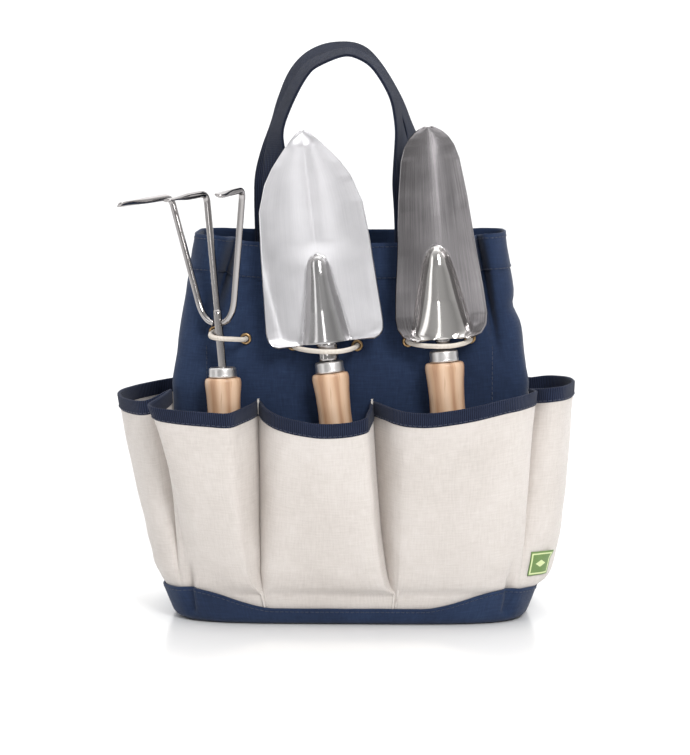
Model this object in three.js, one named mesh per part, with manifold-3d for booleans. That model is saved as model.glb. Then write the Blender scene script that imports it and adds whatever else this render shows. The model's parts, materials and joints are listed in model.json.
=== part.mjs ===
// Garden tool bag: an open canvas tote with a band of bellows pockets, two webbing handles and
// three hand tools held upright by elastic loops.
// Millimetres, +Z up. The origin is the centre of the bag's underside, and the front faces -Y.
import * as THREE from 'three';
import { mergeVertices } from 'three/addons/utils/BufferGeometryUtils.js';
import Module from 'manifold-3d';

const wasm = await Module();
wasm.setup();

// Driving dimensions -----------------------------------------------------------------------

const CLEARANCE = 0.4;            // between sewn or nested pieces

// Bag
const CANVAS = 1.8;               // navy canvas with its lining
const POCKET_CLOTH = 1.6;
const BINDING = 3.0;              // folded tape, over the pocket's edge
const BINDING_HEIGHT = 11;
const BAG_TOP = 283;
const BODY_FOOT_Y = 57;
const BODY_SIDES = [[0, 128.5], [22, 129], [60, 132], [176, 132.5], [283, 115]];  // x by height
const BODY_LEAN = 0.05;           // front and back lean in by this much per mm of height
const OBLONG = 4.5;               // power of the boot's rounded oblong plan
const BODY_SQUARE_AT = 176;       // the body's plan is at its squarest from here up
const PANEL_SHARE = 0.9;          // of the half width that the front and back panels cover
const BOOT = { x: 131.5, y: 70, wall: 2, floor: 2, flareX: 0.4, flareY: 0.14 };
const BOOT_HEIGHT = { front: 12, corner: 26, side: 21 };
const BOARD = 3;
const CLOTH_FOOT = 6;             // height at which body and pocket cloth start, inside the boot

// Webbing
const STRAP = { width: 25, thickness: 2.2 };
const STRAP_FOLD_Z = 290;         // the straps fold here, just above the hem
const STRAP_FOLD_GAP = 3.5;       // free webbing on each side of the fold line
const STRAP_TURN = 80;            // height above the fold where a strap has finished turning
const STRAP_LIE = { middle: 15, perX: 0.12 };   // degrees short of edge-on, more on the left
const STRAP_SEWN = 42;            // sewn length below the fold

// Eyelets and elastic
const EYELET = { flange: 4.3, barrel: 2.9, hole: 2.3, rim: 0.9 };
const PANEL_HOLE = 3.5;
const ELASTIC = 1.8;              // radius

// Tools
const TOOL_OFFSET = 15.6;         // from the front panel's face to a tool's axis
const BLADE = 1.8;
const TANG = 3;
const TANG_BORE = 3.3;
const HANDLE_LENGTH = 100;

// Materials --------------------------------------------------------------------------------

function finish(color, roughness, metalness = 0) {
  return new THREE.MeshStandardMaterial({ color, roughness, metalness });
}

const navyCanvas = finish(0x263454, 0.9);
const creamCanvas = finish(0xe4ddd4, 0.9);
const navyTape = finish(0x232a46, 0.85);
const webbing = finish(0x161c32, 0.85);
const board = finish(0x3a3a3c, 0.8);
const bronze = finish(0x9a7a4a, 0.35, 1);
const elastic = finish(0xeae2d6, 0.8);
const labelCloth = finish(0x6f8f4a, 0.8);
const brushedSteel = finish(0xb9babd, 0.35, 1);
const brightSteel = finish(0xcfd0d2, 0.18, 1);
const ash = finish(0xe1b48c, 0.6);

// Geometry helpers -------------------------------------------------------------------------

const bag = new THREE.Group();

function addTo(parent, name, geometry, material) {
  const mesh = new THREE.Mesh(geometry, material);
  mesh.name = name;
  parent.add(mesh);
  return mesh;
}

function clamp01(value) {
  return Math.min(1, Math.max(0, value));
}

function smooth(value) {
  const t = clamp01(value);
  return t * t * (3 - 2 * t);
}

function mix(from, to, share) {
  return from + (to - from) * share;
}

// Moves every vertex of a geometry to place(vertex).
function reshape(geometry, place) {
  const position = geometry.attributes.position;
  const vertex = new THREE.Vector3();
  for (let i = 0; i < position.count; i++) {
    vertex.fromBufferAttribute(position, i);
    const spot = place(vertex);
    position.setXYZ(i, spot.x, spot.y, spot.z);
  }
  return geometry;
}

// A sheet with thickness: place(u, v, w) gives the point at u along, v up and w through it.
// Seen from above, w points to the left of the way u goes.
function bentSheet(columns, rows, place) {
  const block = new THREE.BoxGeometry(1, 1, 1, columns, 1, rows);
  return reshape(block, (p) => place(p.x + 0.5, p.z + 0.5, p.y + 0.5));
}

function toSolid(geometry) {
  const bare = geometry.clone();
  bare.deleteAttribute('normal');
  bare.deleteAttribute('uv');
  const merged = mergeVertices(bare, 1e-4);
  return new wasm.Manifold(new wasm.Mesh({
    numProp: 3,
    vertProperties: new Float32Array(merged.attributes.position.array),
    triVerts: new Uint32Array(merged.index.array),
  }));
}

function toGeometry(solid) {
  const mesh = solid.getMesh();
  const geometry = new THREE.BufferGeometry();
  geometry.setAttribute('position', new THREE.BufferAttribute(mesh.vertProperties, 3));
  geometry.setIndex(new THREE.BufferAttribute(mesh.triVerts, 1));
  return geometry;
}

function roundRod(curve, radius, sides, steps) {
  const section = new THREE.Shape();
  section.absarc(0, 0, radius, 0, 2 * Math.PI);
  return new THREE.ExtrudeGeometry(section, {
    extrudePath: curve, steps, curveSegments: sides / 2, bevelEnabled: false,
  });
}

// A lathed solid about Z. The profile is [radius, height] pairs, from bottom to top.
function turned(profile, segments) {
  const points = profile.map(([r, z]) => new THREE.Vector2(r, z));
  return new THREE.LatheGeometry(points, segments).rotateX(Math.PI / 2);
}

// Value at share t of evenly spaced stations, eased by a spline.
function along(stations, t) {
  const curve = new THREE.SplineCurve(stations.map((value, i) => new THREE.Vector2(i, value)));
  return curve.getPoint(clamp01(t)).y;
}

// Value at `at` between [position, value] stations.
function between(stations, at) {
  const last = stations.length - 1;
  const i = Math.max(1, stations.findIndex(([p]) => p >= at));
  const next = at > stations[last][0] ? last : i;
  const [p0, v0] = stations[next - 1];
  const [p1, v1] = stations[next];
  return mix(v0, v1, clamp01((at - p0) / (p1 - p0)));
}

// Bag body ---------------------------------------------------------------------------------

// The plan is a rounded oblong |x/X|^n + |y/Y|^n = 1, squarer higher up.
function bodyPlan(z) {
  return {
    x: between(BODY_SIDES, z),
    y: BODY_FOOT_Y - BODY_LEAN * z,
    n: mix(OBLONG, 8, clamp01(z / BODY_SQUARE_AT)),
  };
}

function oblong(share, power) {
  return (1 - Math.abs(share) ** power) ** (1 / power);
}

function signedPower(value, power) {
  return Math.sign(value) * Math.abs(value) ** power;
}

// Point of the boot's plan at an angle, counter-clockwise from +X.
function oblongPoint(halfX, halfY, angle) {
  return new THREE.Vector2(
    halfX * signedPower(Math.cos(angle), 2 / OBLONG),
    halfY * signedPower(Math.sin(angle), 2 / OBLONG),
  );
}

// y of the front panel's outer face.
function frontFace(x, z) {
  const plan = bodyPlan(z);
  return -plan.y * oblong(x / plan.x, plan.n);
}

function frontPanel() {
  return bentSheet(20, 8, (u, v, w) => {
    const z = mix(CLOTH_FOOT, BAG_TOP, v);
    const x = (2 * u - 1) * (PANEL_SHARE * bodyPlan(z).x - CLEARANCE);
    return { x, y: frontFace(x, z) + w * CANVAS, z };
  });
}

function rightGusset() {
  return bentSheet(12, 8, (u, v, w) => {
    const z = mix(CLOTH_FOOT, BAG_TOP + 2, v);
    const plan = bodyPlan(z);
    const reach = plan.y * oblong(PANEL_SHARE, plan.n) - CANVAS - CLEARANCE;
    const y = (2 * u - 1) * reach;
    return { x: plan.x * oblong(y / plan.y, plan.n) - w * CANVAS, y, z };
  });
}

// Outline of the boot, pulled in by inset, at height z.
function bootOutline(inset, z, segments = 64) {
  const halfX = BOOT.x + BOOT.flareX * z - inset;
  const halfY = BOOT.y + BOOT.flareY * z - inset;
  const points = [];
  for (let i = 0; i < segments; i++) {
    points.push(oblongPoint(halfX, halfY, (2 * Math.PI * i) / segments));
  }
  return new THREE.Shape(points);
}

function bootTop(x, y) {
  const frontEdge = mix(BOOT_HEIGHT.front, BOOT_HEIGHT.corner, smooth((Math.abs(x) - 55) / 63));
  const sideEdge = mix(BOOT_HEIGHT.side, BOOT_HEIGHT.corner, clamp01(Math.abs(y) / BOOT.y));
  return mix(frontEdge, sideEdge, smooth((Math.abs(x) - 118) / 8));
}

function extrudeUp(shape, from, to) {
  const depth = to - from;
  return new THREE.ExtrudeGeometry(shape, { depth, bevelEnabled: false }).translate(0, 0, from);
}

function boot() {
  const flared = (shape, floor, topAt) => reshape(extrudeUp(shape, floor, floor + 1), (p) => {
    const z = p.z > floor ? topAt(p.x, p.y) : floor;
    const grow = (half, rate) => 1 + (rate * (z - floor)) / half;
    return { x: p.x * grow(BOOT.x, BOOT.flareX), y: p.y * grow(BOOT.y, BOOT.flareY), z };
  });
  const outer = flared(bootOutline(0, 0), 0, bootTop);
  const hollow = flared(bootOutline(BOOT.wall, BOOT.floor), BOOT.floor, () => 2 * BOOT_HEIGHT.corner);
  return toGeometry(toSolid(outer).subtract(toSolid(hollow)));
}

function bottomBoard() {
  const inset = BOOT.wall + POCKET_CLOTH + CANVAS + 4 * CLEARANCE;
  return extrudeUp(bootOutline(inset, 0, 40), BOOT.floor + CLEARANCE, BOOT.floor + BOARD);
}

addTo(bag, 'base_boot', boot(), navyCanvas);
addTo(bag, 'bottom_board', bottomBoard(), board);
addTo(bag, 'gusset_right', rightGusset(), navyCanvas);
addTo(bag, 'gusset_left', rightGusset(), navyCanvas).rotation.z = Math.PI;
addTo(bag, 'back_panel', frontPanel(), navyCanvas).rotation.z = Math.PI;

// Pockets ----------------------------------------------------------------------------------

// Each pocket is one cloth bellows. foot gives where its lower edge starts and ends on the boot:
// x on the front, y on the sides. rim is its plan at the rim, counter-clockwise round the bag.
// Each rim point has a height, a fullness, and a share of the way along the foot that lies below
// it. A fullness below 1 fills the pocket out low down, and above 1 pinches it in.
const POCKETS = {
  pocket_front_left: {
    rim: [[-133, -46], [-139, -62], [-145, -79], [-141, -90], [-126, -94], [-103, -96],
      [-87, -94], [-79, -82], [-68.5, -53.5]],
    heights: [171, 168, 165.5, 164, 162.5, 161, 160, 161.5, 164],
    fullness: [0.7, 1.4, 2.1, 1.6, 1, 0.6, 0.4, 0.4, 0.5],
    footShares: [0, 0.03, 0.07, 0.15, 0.36, 0.66, 0.93, 0.97, 1],
    foot: { from: { side: -1, y: -56.5 }, to: { x: -60.5 } },
  },
  pocket_front_centre: {
    rim: [[-65.5, -53.5], [-60.5, -72], [-50, -85], [-36, -91.5], [-19, -95], [0, -95], [12, -90],
      [14.5, -76], [14.8, -53.5]],
    heights: [164, 161, 157.5, 154.5, 152.5, 153.5, 156, 158, 163],
    fullness: [0.5, 0.5, 0.5, 0.5, 0.45, 0.4, 0.33, 0.33, 0.4],
    footShares: [0, 0.02, 0.07, 0.2, 0.45, 0.72, 0.93, 0.97, 1],
    foot: { from: { x: -58 }, to: { x: 32 } },
  },
  pocket_front_right: {
    rim: [[18.2, -53.5], [26, -70], [34.5, -83], [46, -91], [64, -95], [88, -96], [111, -92],
      [127, -80], [137, -63], [136.5, -47]],
    heights: [164, 163, 161.5, 160.5, 161, 165, 170, 172, 173, 172.5],
    fullness: [0.5, 0.55, 0.55, 0.55, 0.55, 0.55, 0.6, 0.7, 0.8, 0.8],
    footShares: [0, 0.02, 0.04, 0.08, 0.3, 0.55, 0.8, 0.88, 0.95, 1],
    foot: { from: { x: 34.5 }, to: { side: 1, y: -56.5 } },
  },
  pocket_side_right: {
    rim: [[135.5, -41], [143, -48], [150, -50], [159, -43], [165.5, -24], [167, 0], [163, 26],
      [150, 41], [135.5, 40]],
    heights: [172, 173, 174, 174.5, 174.5, 174, 173, 172, 170],
    fullness: [0.8, 0.7, 0.45, 0.32, 0.3, 0.3, 0.35, 0.5, 0.7],
    footShares: [0, 0.04, 0.1, 0.2, 0.35, 0.5, 0.7, 0.9, 1],
    foot: { from: { side: 1, y: -53 }, to: { side: 1, y: 53 } },
  },
  pocket_side_left: {
    rim: [[-135.5, 40], [-150, 43], [-167, 28], [-175, 4], [-172, -22], [-160, -43],
      [-148, -49], [-135.5, -40.5]],
    heights: [170, 167, 165, 164, 163, 162.5, 164, 170],
    fullness: [0.7, 0.65, 0.65, 0.65, 0.65, 0.7, 0.8, 0.8],
    footShares: [0, 0.1, 0.3, 0.5, 0.68, 0.88, 0.96, 1],
    foot: { from: { side: -1, y: 53 }, to: { side: -1, y: -53 } },
  },
};
const FOOT_INSET = BOOT.wall + CLEARANCE;
const SPREAD_FROM = 25;

// Lower edge of a pocket, along the boot's inner wall.
function footCurve({ from, to }) {
  const halfX = BOOT.x + BOOT.flareX * CLOTH_FOOT - FOOT_INSET;
  const halfY = BOOT.y + BOOT.flareY * CLOTH_FOOT - FOOT_INSET;
  const angleOf = (spot) => {
    if (spot.side === undefined) {
      return -Math.acos(signedPower(spot.x / halfX, OBLONG / 2));
    }
    const up = Math.asin(signedPower(spot.y / halfY, OBLONG / 2));
    return spot.side > 0 ? up : -Math.PI - up;
  };
  const start = angleOf(from);
  const end = angleOf(to) < start ? angleOf(to) + 2 * Math.PI : angleOf(to);
  const points = [];
  for (let i = 0; i <= 30; i++) {
    points.push(oblongPoint(halfX, halfY, mix(start, end, i / 30)));
  }
  return new THREE.SplineCurve(points);
}

// Outer face of a pocket at u along it and height z, moved in by depth. It follows the boot's
// wall up to SPREAD_FROM and then swings out to the rim.
function pocketPoint(pocket, u, z, depth) {
  const planAt = (t) => {
    const rimZ = along(pocket.heights, t);
    const height = clamp01((z - SPREAD_FROM) / (rimZ - SPREAD_FROM));
    const spread = height ** along(pocket.fullness, t);
    const rise = Math.min(z, SPREAD_FROM) - CLOTH_FOOT;
    const foot = pocket.footCurve.getPointAt(clamp01(along(pocket.footShares, t)));
    const lowX = foot.x * (1 + (BOOT.flareX * rise) / BOOT.x);
    const lowY = foot.y * (1 + (BOOT.flareY * rise) / BOOT.y);
    const high = pocket.rimCurve.getPoint(clamp01(t));
    return { x: mix(lowX, high.x, spread), y: mix(lowY, high.y, spread) };
  };
  const before = planAt(u - 0.01);
  const after = planAt(u + 0.01);
  const length = Math.hypot(after.x - before.x, after.y - before.y);
  const here = planAt(u);
  return {
    x: here.x - (depth * (after.y - before.y)) / length,
    y: here.y + (depth * (after.x - before.x)) / length,
    z,
  };
}

const LOW_ROW = 0.2;               // the first of the cloth's five rows lies inside the boot

function pocketCloth(pocket) {
  return bentSheet(18, 5, (u, v, w) => {
    const edge = along(pocket.heights, u) - BINDING_HEIGHT - CLEARANCE;
    const z = v < LOW_ROW ? mix(CLOTH_FOOT, SPREAD_FROM, v / LOW_ROW)
      : mix(SPREAD_FROM, edge, (v - LOW_ROW) / (1 - LOW_ROW));
    return pocketPoint(pocket, u, z, w * POCKET_CLOTH);
  });
}

function pocketBinding(pocket) {
  const proud = (BINDING - POCKET_CLOTH) / 2;
  return bentSheet(18, 1, (u, v, w) => {
    const rim = along(pocket.heights, u);
    const z = rim - BINDING_HEIGHT * (1 - v);
    return pocketPoint(pocket, u, z, w * BINDING - proud);
  });
}

const BACK_TWIN = {
  pocket_front_left: 'pocket_back_right',
  pocket_front_centre: 'pocket_back_centre',
  pocket_front_right: 'pocket_back_left',
};

for (const [name, pocket] of Object.entries(POCKETS)) {
  pocket.rimCurve = new THREE.SplineCurve(pocket.rim.map(([x, y]) => new THREE.Vector2(x, y)));
  pocket.footCurve = footCurve(pocket.foot);
  const cloth = pocketCloth(pocket);
  const binding = pocketBinding(pocket);
  addTo(bag, name, cloth, creamCanvas);
  addTo(bag, name.replace('pocket', 'binding'), binding, navyTape);
  const twin = BACK_TWIN[name];
  if (twin) {
    addTo(bag, twin, cloth, creamCanvas).rotation.z = Math.PI;
    addTo(bag, twin.replace('pocket', 'binding'), binding, navyTape).rotation.z = Math.PI;
  }
}

// A woven tag sewn on the right side pocket, near its front seam.
const LABEL = { from: 0.17, to: 0.36, low: 34, high: 52, thickness: 0.8 };
addTo(bag, 'side_label', bentSheet(4, 2, (u, v, w) => pocketPoint(
  POCKETS.pocket_side_right,
  mix(LABEL.from, LABEL.to, u),
  mix(LABEL.low, LABEL.high, v),
  (w - 1) * LABEL.thickness - CLEARANCE,
)), labelCloth);

// Tools ------------------------------------------------------------------------------------

// Each tool stands in a frame of its own: Z up along its axis, -Y to the front, and the origin
// on the axis at the top of its ferrule. It leans with the front panel and tilts sideways.
const TOOLS = {
  cultivator: { x: -92.3, z: 190, tilt: 1.8, ferrule: [10.2, 7.4], handle: 13.3 },
  trowel: { x: -15, z: 194.5, tilt: 6.6, ferrule: [10.6, 8.2], handle: 13.5 },
  transplanter: { x: 68.6, z: 203, tilt: 4.2, ferrule: [10.6, 8.6], handle: 14.3 },
};

function toolFrame({ x, z, tilt }) {
  const frame = new THREE.Group();
  frame.position.set(x, frontFace(0, z) - TOOL_OFFSET, z);
  frame.rotation.set(-Math.atan(BODY_LEAN), -THREE.MathUtils.degToRad(tilt), 0, 'XYZ');
  bag.add(frame);
  return frame;
}

function cylinder(radius, low, high, segments) {
  const height = high - low;
  return new THREE.CylinderGeometry(radius, radius, height, segments)
    .rotateX(Math.PI / 2)
    .translate(0, 0, (low + high) / 2);
}

// A turned wooden grip: a rounded shoulder, a long waist and a rounded, swelled end.
function woodenHandle(top, radius) {
  const end = top - HANDLE_LENGTH;
  const grip = turned([
    [0, end], [8, end + 0.8], [12, end + 4], [radius, end + 11], [radius + 0.6, end + 26],
    [radius - 0.6, end + 46], [radius - 1.8, end + 62], [radius - 1.2, end + 78],
    [radius - 0.3, end + 90], [radius, top - 4], [radius - 1.2, top], [0, top],
  ], 24);
  const bore = cylinder(TANG_BORE, top - 66, top + 5, 12);
  return toGeometry(toSolid(grip).subtract(toSolid(bore)));
}

function ferrule(radius, height) {
  const ring = turned([
    [0, -height], [radius, -height], [radius + 0.3, -height + 1], [radius, -height + 2],
    [radius - 0.3, -1.2], [radius - 1.5, 0], [0, 0],
  ], 24);
  const bore = cylinder(TANG_BORE, -height - 5, 5, 12);
  return toGeometry(toSolid(ring).subtract(toSolid(bore)));
}

function addGrip(frame, name, tool) {
  const [radius, height] = tool.ferrule;
  addTo(frame, `${name}_ferrule`, ferrule(radius, height), brightSteel);
  addTo(frame, `${name}_handle`, woodenHandle(-height - CLEARANCE, tool.handle), ash);
}

// A pressed blade, concave to the front. halfWidth and sag are [distance from the tip, value]
// stations, low is the height of its lower edge, and socket is the cone pressed into its foot.
const BLADES = {
  trowel: {
    low: 13.4,
    length: 155,
    halfWidth: [[0, 1.4], [4, 7], [9, 12], [15, 17], [25, 25], [36, 31.5], [55, 37.5], [82, 39.8],
      [118, 41.5], [146, 42.6], [151, 41.5], [155, 37]],
    sag: [[0, 1], [40, 7], [100, 10], [155, 11]],
    back: 5,
    socket: { radius: 17, height: 64, depth: 0.55, tip: 8 },
    neck: 7.7,
  },
  transplanter: {
    low: 8,
    length: 154,
    halfWidth: [[0, 3], [2, 7.5], [7, 13.5], [14, 18], [24, 21], [50, 24.5], [92, 28.5], [118, 31.5],
      [137, 33], [144, 32], [149, 28], [154, 20]],
    sag: [[0, 1], [20, 5], [60, 10], [154, 13]],
    back: 6,
    socket: { radius: 19, height: 66, depth: 0.5, tip: 7 },
    neck: 5.6,
  },
};

function blade({ low, length, halfWidth, sag, back, socket }) {
  const tip = low + length;
  const faceAt = (across, z) => {
    const fromTip = tip - z;
    return mix(1, back, fromTip / length) - between(sag, fromTip) * across * across;
  };
  const outlineAt = (v) => {
    const fromTip = length * (1 - v) ** 1.4;
    return { z: tip - fromTip, half: between(halfWidth, fromTip) };
  };
  const sheet = bentSheet(10, 16, (u, v, w) => {
    const { z, half } = outlineAt(v);
    const across = 2 * u - 1;
    return { x: across * half, y: faceAt(across, z) + w * BLADE, z };
  });
  const ahead = bentSheet(10, 16, (u, v, w) => {
    const { z, half } = outlineAt(v);
    const across = 2 * u - 1;
    return { x: across * (half - 0.1), y: mix(-30, faceAt(across, z) + 1, w), z };
  });
  const { radius, height, depth, tip: end } = socket;
  const cone = turned([
    [0, low - 2], [radius, low - 2], [radius - 1, low + 6], [mix(radius, end, 0.6), low + height * 0.5],
    [end, low + height * 0.84], [end * 0.55, low + height * 0.96], [0, low + height],
  ], 24).scale(1, depth, 1);
  const pressed = toSolid(cone).intersect(toSolid(ahead));
  return toGeometry(toSolid(sheet).add(pressed));
}

// Steel neck under the blade, and the tang that runs down into the handle.
function tang(neckRadius, neckTop) {
  return turned([
    [0, -62], [TANG * 0.6, -62], [TANG, -56], [TANG, CLEARANCE], [neckRadius, CLEARANCE],
    [neckRadius, neckTop], [0, neckTop],
  ], 20);
}

for (const [name, shape] of Object.entries(BLADES)) {
  const frame = toolFrame(TOOLS[name]);
  addGrip(frame, name, TOOLS[name]);
  addTo(frame, `${name}_tang`, tang(shape.neck, shape.low - CLEARANCE), brightSteel);
  addTo(frame, `${name}_blade`, blade(shape), brushedSteel);
}

// Three-pronged cultivator: the shank carries on up as the middle tine, and a tine is welded to
// it on each side. The whole head is turned about the tool's axis.
const SHANK = 3.1;
const TINE = 2.5;
const HEAD_TURN = 33;             // degrees about the shank
const HEAD_TILT = 3.4;            // degrees to the side, a bend of the shank above its ferrule
const PRONG = 47;
const BEND_HEIGHT = 127;
const BEND_RADIUS = 7;
const FORK_HEIGHT = 42;
const KNEE = { out: 13.5, up: 3, reach: 14 };   // where the outer tines curve in to the shank
const SPREAD = 33;
const SPLAY = 15;                 // degrees that the outer prongs turn outwards

// A tine from start up to the bend at (side, 0, BEND_HEIGHT), then out along -Y and outwards.
function tineRoute(start, side, splay) {
  const bend = new THREE.Vector3(side, 0, BEND_HEIGHT);
  const foot = new THREE.Vector3(...start);
  const out = new THREE.Vector3(Math.sin(splay), -Math.cos(splay), -0.06);
  const beforeBend = foot.clone().sub(bend).setLength(BEND_RADIUS).add(bend);
  const afterBend = out.clone().setLength(BEND_RADIUS).add(bend);
  const tip = out.clone().setLength(PRONG).add(bend);
  const route = new THREE.CurvePath();
  if (side === 0) {
    route.add(new THREE.LineCurve3(foot, beforeBend));
  } else {
    const knee = new THREE.Vector3(Math.sign(side) * KNEE.out, 0, foot.z + KNEE.up);
    const above = bend.clone().sub(knee).setLength(KNEE.reach).add(knee);
    beforeBend.copy(knee).sub(bend).setLength(BEND_RADIUS).add(bend);
    route.add(new THREE.QuadraticBezierCurve3(foot, knee, above));
    route.add(new THREE.LineCurve3(above, beforeBend));
  }
  route.add(new THREE.QuadraticBezierCurve3(beforeBend, bend, afterBend));
  route.add(new THREE.LineCurve3(afterBend, tip));
  return route;
}

const cultivator = toolFrame(TOOLS.cultivator);
addGrip(cultivator, 'cultivator', TOOLS.cultivator);
const headPlace = new THREE.Matrix4().makeRotationY(-THREE.MathUtils.degToRad(HEAD_TILT))
  .multiply(new THREE.Matrix4().makeRotationZ(-THREE.MathUtils.degToRad(HEAD_TURN)));

function tineRod(start, side, splay) {
  const route = tineRoute(start, side, THREE.MathUtils.degToRad(splay));
  return roundRod(route, TINE, 8, 40).applyMatrix4(headPlace);
}

const tail = toSolid(cylinder(SHANK, -62, 1, 16));
const shaft = toSolid(cylinder(SHANK, -1, FORK_HEIGHT - 2, 16).applyMatrix4(headPlace));
const middleTine = toSolid(tineRod([0, 0, FORK_HEIGHT - 10], 0, 0));
const shank = toGeometry(tail.add(shaft).add(middleTine));
addTo(cultivator, 'cultivator_shank', shank, brightSteel);
for (const [side, name] of [[-1, 'left'], [1, 'right']]) {
  const start = [side * (SHANK + TINE + CLEARANCE), 0, FORK_HEIGHT - 10];
  const rod = tineRod(start, side * SPREAD, side * SPLAY);
  addTo(cultivator, `cultivator_tine_${name}`, rod, brightSteel);
}

// Eyelets and elastic loops ----------------------------------------------------------------

// Each loop leaves one eyelet, passes in front of its tool and goes back in at the other.
// eyelets are [x, z], and via holds the points between them as [x, distance before the panel, z].
const LOOPS = {
  cultivator: {
    eyelets: [[-99.2, 214.2], [-76.2, 209]],
    via: [[-101.2, 9.5, 213.4], [-100, 18, 212.2], [-94, 22, 211.4], [-86, 18.6, 210.6],
      [-78, 9.5, 209.3]],
  },
  trowel: {
    eyelets: [[-41.3, 204.5], [5.7, 204.3]],
    via: [[-39, 10, 203.5], [-31, 19.6, 202.9], [-22, 26.2, 202.7], [-14.6, 28, 202.6],
      [-7, 26.2, 202.7], [-1, 19.6, 203], [4, 10, 203.7]],
  },
  transplanter: {
    eyelets: [[43.1, 207.3], [88.5, 210]],
    via: [[46, 10.3, 206.8], [54, 20, 206.4], [62, 24.8, 206.4], [68.6, 26.2, 206.5],
      [76, 24.3, 206.9], [83, 18.5, 207.8], [88, 10, 209.2]],
  },
};
const PANEL_SLOPE = Math.atan(BODY_LEAN);
const KNOT = 3.4;
const KNOT_DEPTH = 6;

function eyelet() {
  const back = CANVAS + CLEARANCE + 0.1;
  const { flange, barrel, hole, rim } = EYELET;
  const profile = [
    [hole, -CLEARANCE - rim], [flange, -CLEARANCE - rim], [flange, -CLEARANCE],
    [barrel, -CLEARANCE], [barrel, back], [flange, back], [flange, back + rim],
    [hole, back + rim], [hole, -CLEARANCE - rim],
  ];
  return turned(profile, 20).rotateX(-Math.PI / 2);
}

let panel = toSolid(frontPanel());
for (const [name, { eyelets, via }] of Object.entries(LOOPS)) {
  const seats = eyelets.map(([x, z]) => new THREE.Vector3(x, frontFace(x, z), z));
  seats.forEach((seat, i) => {
    const drill = cylinder(PANEL_HOLE, -8, 8, 16).rotateX(Math.PI / 2);
    drill.rotateX(-PANEL_SLOPE).translate(seat.x, seat.y, seat.z);
    panel = panel.subtract(toSolid(drill));
    const ring = addTo(bag, `eyelet_${name}_${['left', 'right'][i]}`, eyelet(), bronze);
    ring.position.copy(seat);
    ring.rotation.x = -PANEL_SLOPE;
  });
  const inward = new THREE.Vector3(0, Math.cos(PANEL_SLOPE), -Math.sin(PANEL_SLOPE));
  const out = (seat, depth) => seat.clone().addScaledVector(inward, depth);
  const route = new THREE.CatmullRomCurve3([
    out(seats[0], KNOT_DEPTH), out(seats[0], CANVAS / 2), out(seats[0], -2.5),
    ...via.map(([x, ahead, z]) => new THREE.Vector3(x, frontFace(0, z) - ahead, z)),
    out(seats[1], -2.5), out(seats[1], CANVAS / 2), out(seats[1], KNOT_DEPTH),
  ], false, 'centripetal');
  let cord = toSolid(roundRod(route, ELASTIC, 8, 44));
  for (const seat of seats) {
    const at = out(seat, KNOT_DEPTH + 1);
    cord = cord.add(toSolid(new THREE.SphereGeometry(KNOT, 12, 8).translate(at.x, at.y, at.z)));
  }
  addTo(bag, `elastic_${name}`, toGeometry(cord), elastic);
}
addTo(bag, 'front_panel', toGeometry(panel), navyCanvas);

// Webbing handles --------------------------------------------------------------------------

// A handle is one strap sewn inside the hem. Its free arch folds at the hem, so it is a piece of
// its own above the fold line, and its two sewn ends are pieces below it. route runs from the
// left foot over the top to the right foot. The webbing faces the front at its feet and turns
// nearly edge-on on the way up, so that it lies almost flat over the top.
const HANDLES = {
  rear: {
    side: 1,
    route: [[-62.5, 306], [-63, 325], [-61, 345], [-57.2, 362], [-52, 381], [-44.2, 400],
      [-33.8, 412.5], [-20.5, 419.5], [-6, 421.5], [4.5, 420], [13, 414.5], [23.8, 401],
      [35.6, 380.5], [43.4, 360], [48.5, 340], [52.5, 322], [55.5, 306]],
    feet: [-62, 57],
    top: { y: 30, z: 421.5 },
  },
  front: {
    side: -1,
    route: [[-51.5, 306], [-53.5, 328], [-54.6, 346], [-53, 363], [-43.6, 386.5], [-32.2, 405],
      [-20.9, 412.5], [-4, 418], [8.6, 415], [20, 406], [31.8, 385.5], [36, 365],
      [38.4, 348], [42, 324], [44.5, 306]],
    feet: [-51, 45.4],
    top: { y: -30, z: 418 },
  },
};

// Middle plane of a strap sewn inside the front or back panel.
function strapSeat(side) {
  const face = BODY_FOOT_Y - BODY_LEAN * BAG_TOP;
  return side * (face - CANVAS - CLEARANCE - STRAP.thickness / 2 - 0.6);
}

function strapArch({ side, route, feet, top }) {
  const seat = strapSeat(side);
  const low = STRAP_FOLD_Z + STRAP_FOLD_GAP;
  const depthAt = (z) => mix(seat, top.y, clamp01((z - STRAP_FOLD_Z) / (top.z - STRAP_FOLD_Z)));
  const points = [[feet[0], low], ...route, [feet[1], low]];
  const curve = new THREE.CatmullRomCurve3(
    points.map(([x, z]) => new THREE.Vector3(x, depthAt(z), z)), false, 'centripetal',
  );
  const across = new THREE.Vector3(1, 0, 0);
  const lean = new THREE.Vector3(0, depthAt(low + 50) - depthAt(low), 50).normalize();
  const edgeOn = new THREE.Vector3().crossVectors(lean, across);
  return bentSheet(44, 1, (u, v, w) => {
    const centre = curve.getPointAt(u);
    const way = curve.getTangentAt(u);
    const lie = THREE.MathUtils.degToRad(90 - STRAP_LIE.middle + STRAP_LIE.perX * centre.x);
    const turn = smooth((centre.z - STRAP_FOLD_Z) / STRAP_TURN) * lie;
    const width = new THREE.Vector3().crossVectors(way, edgeOn).multiplyScalar(Math.cos(turn))
      .addScaledVector(edgeOn, Math.sin(turn));
    const normal = new THREE.Vector3().crossVectors(width, way);
    return centre
      .addScaledVector(width, (v - 0.5) * STRAP.width)
      .addScaledVector(normal, (w - 0.5) * STRAP.thickness);
  });
}

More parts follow.
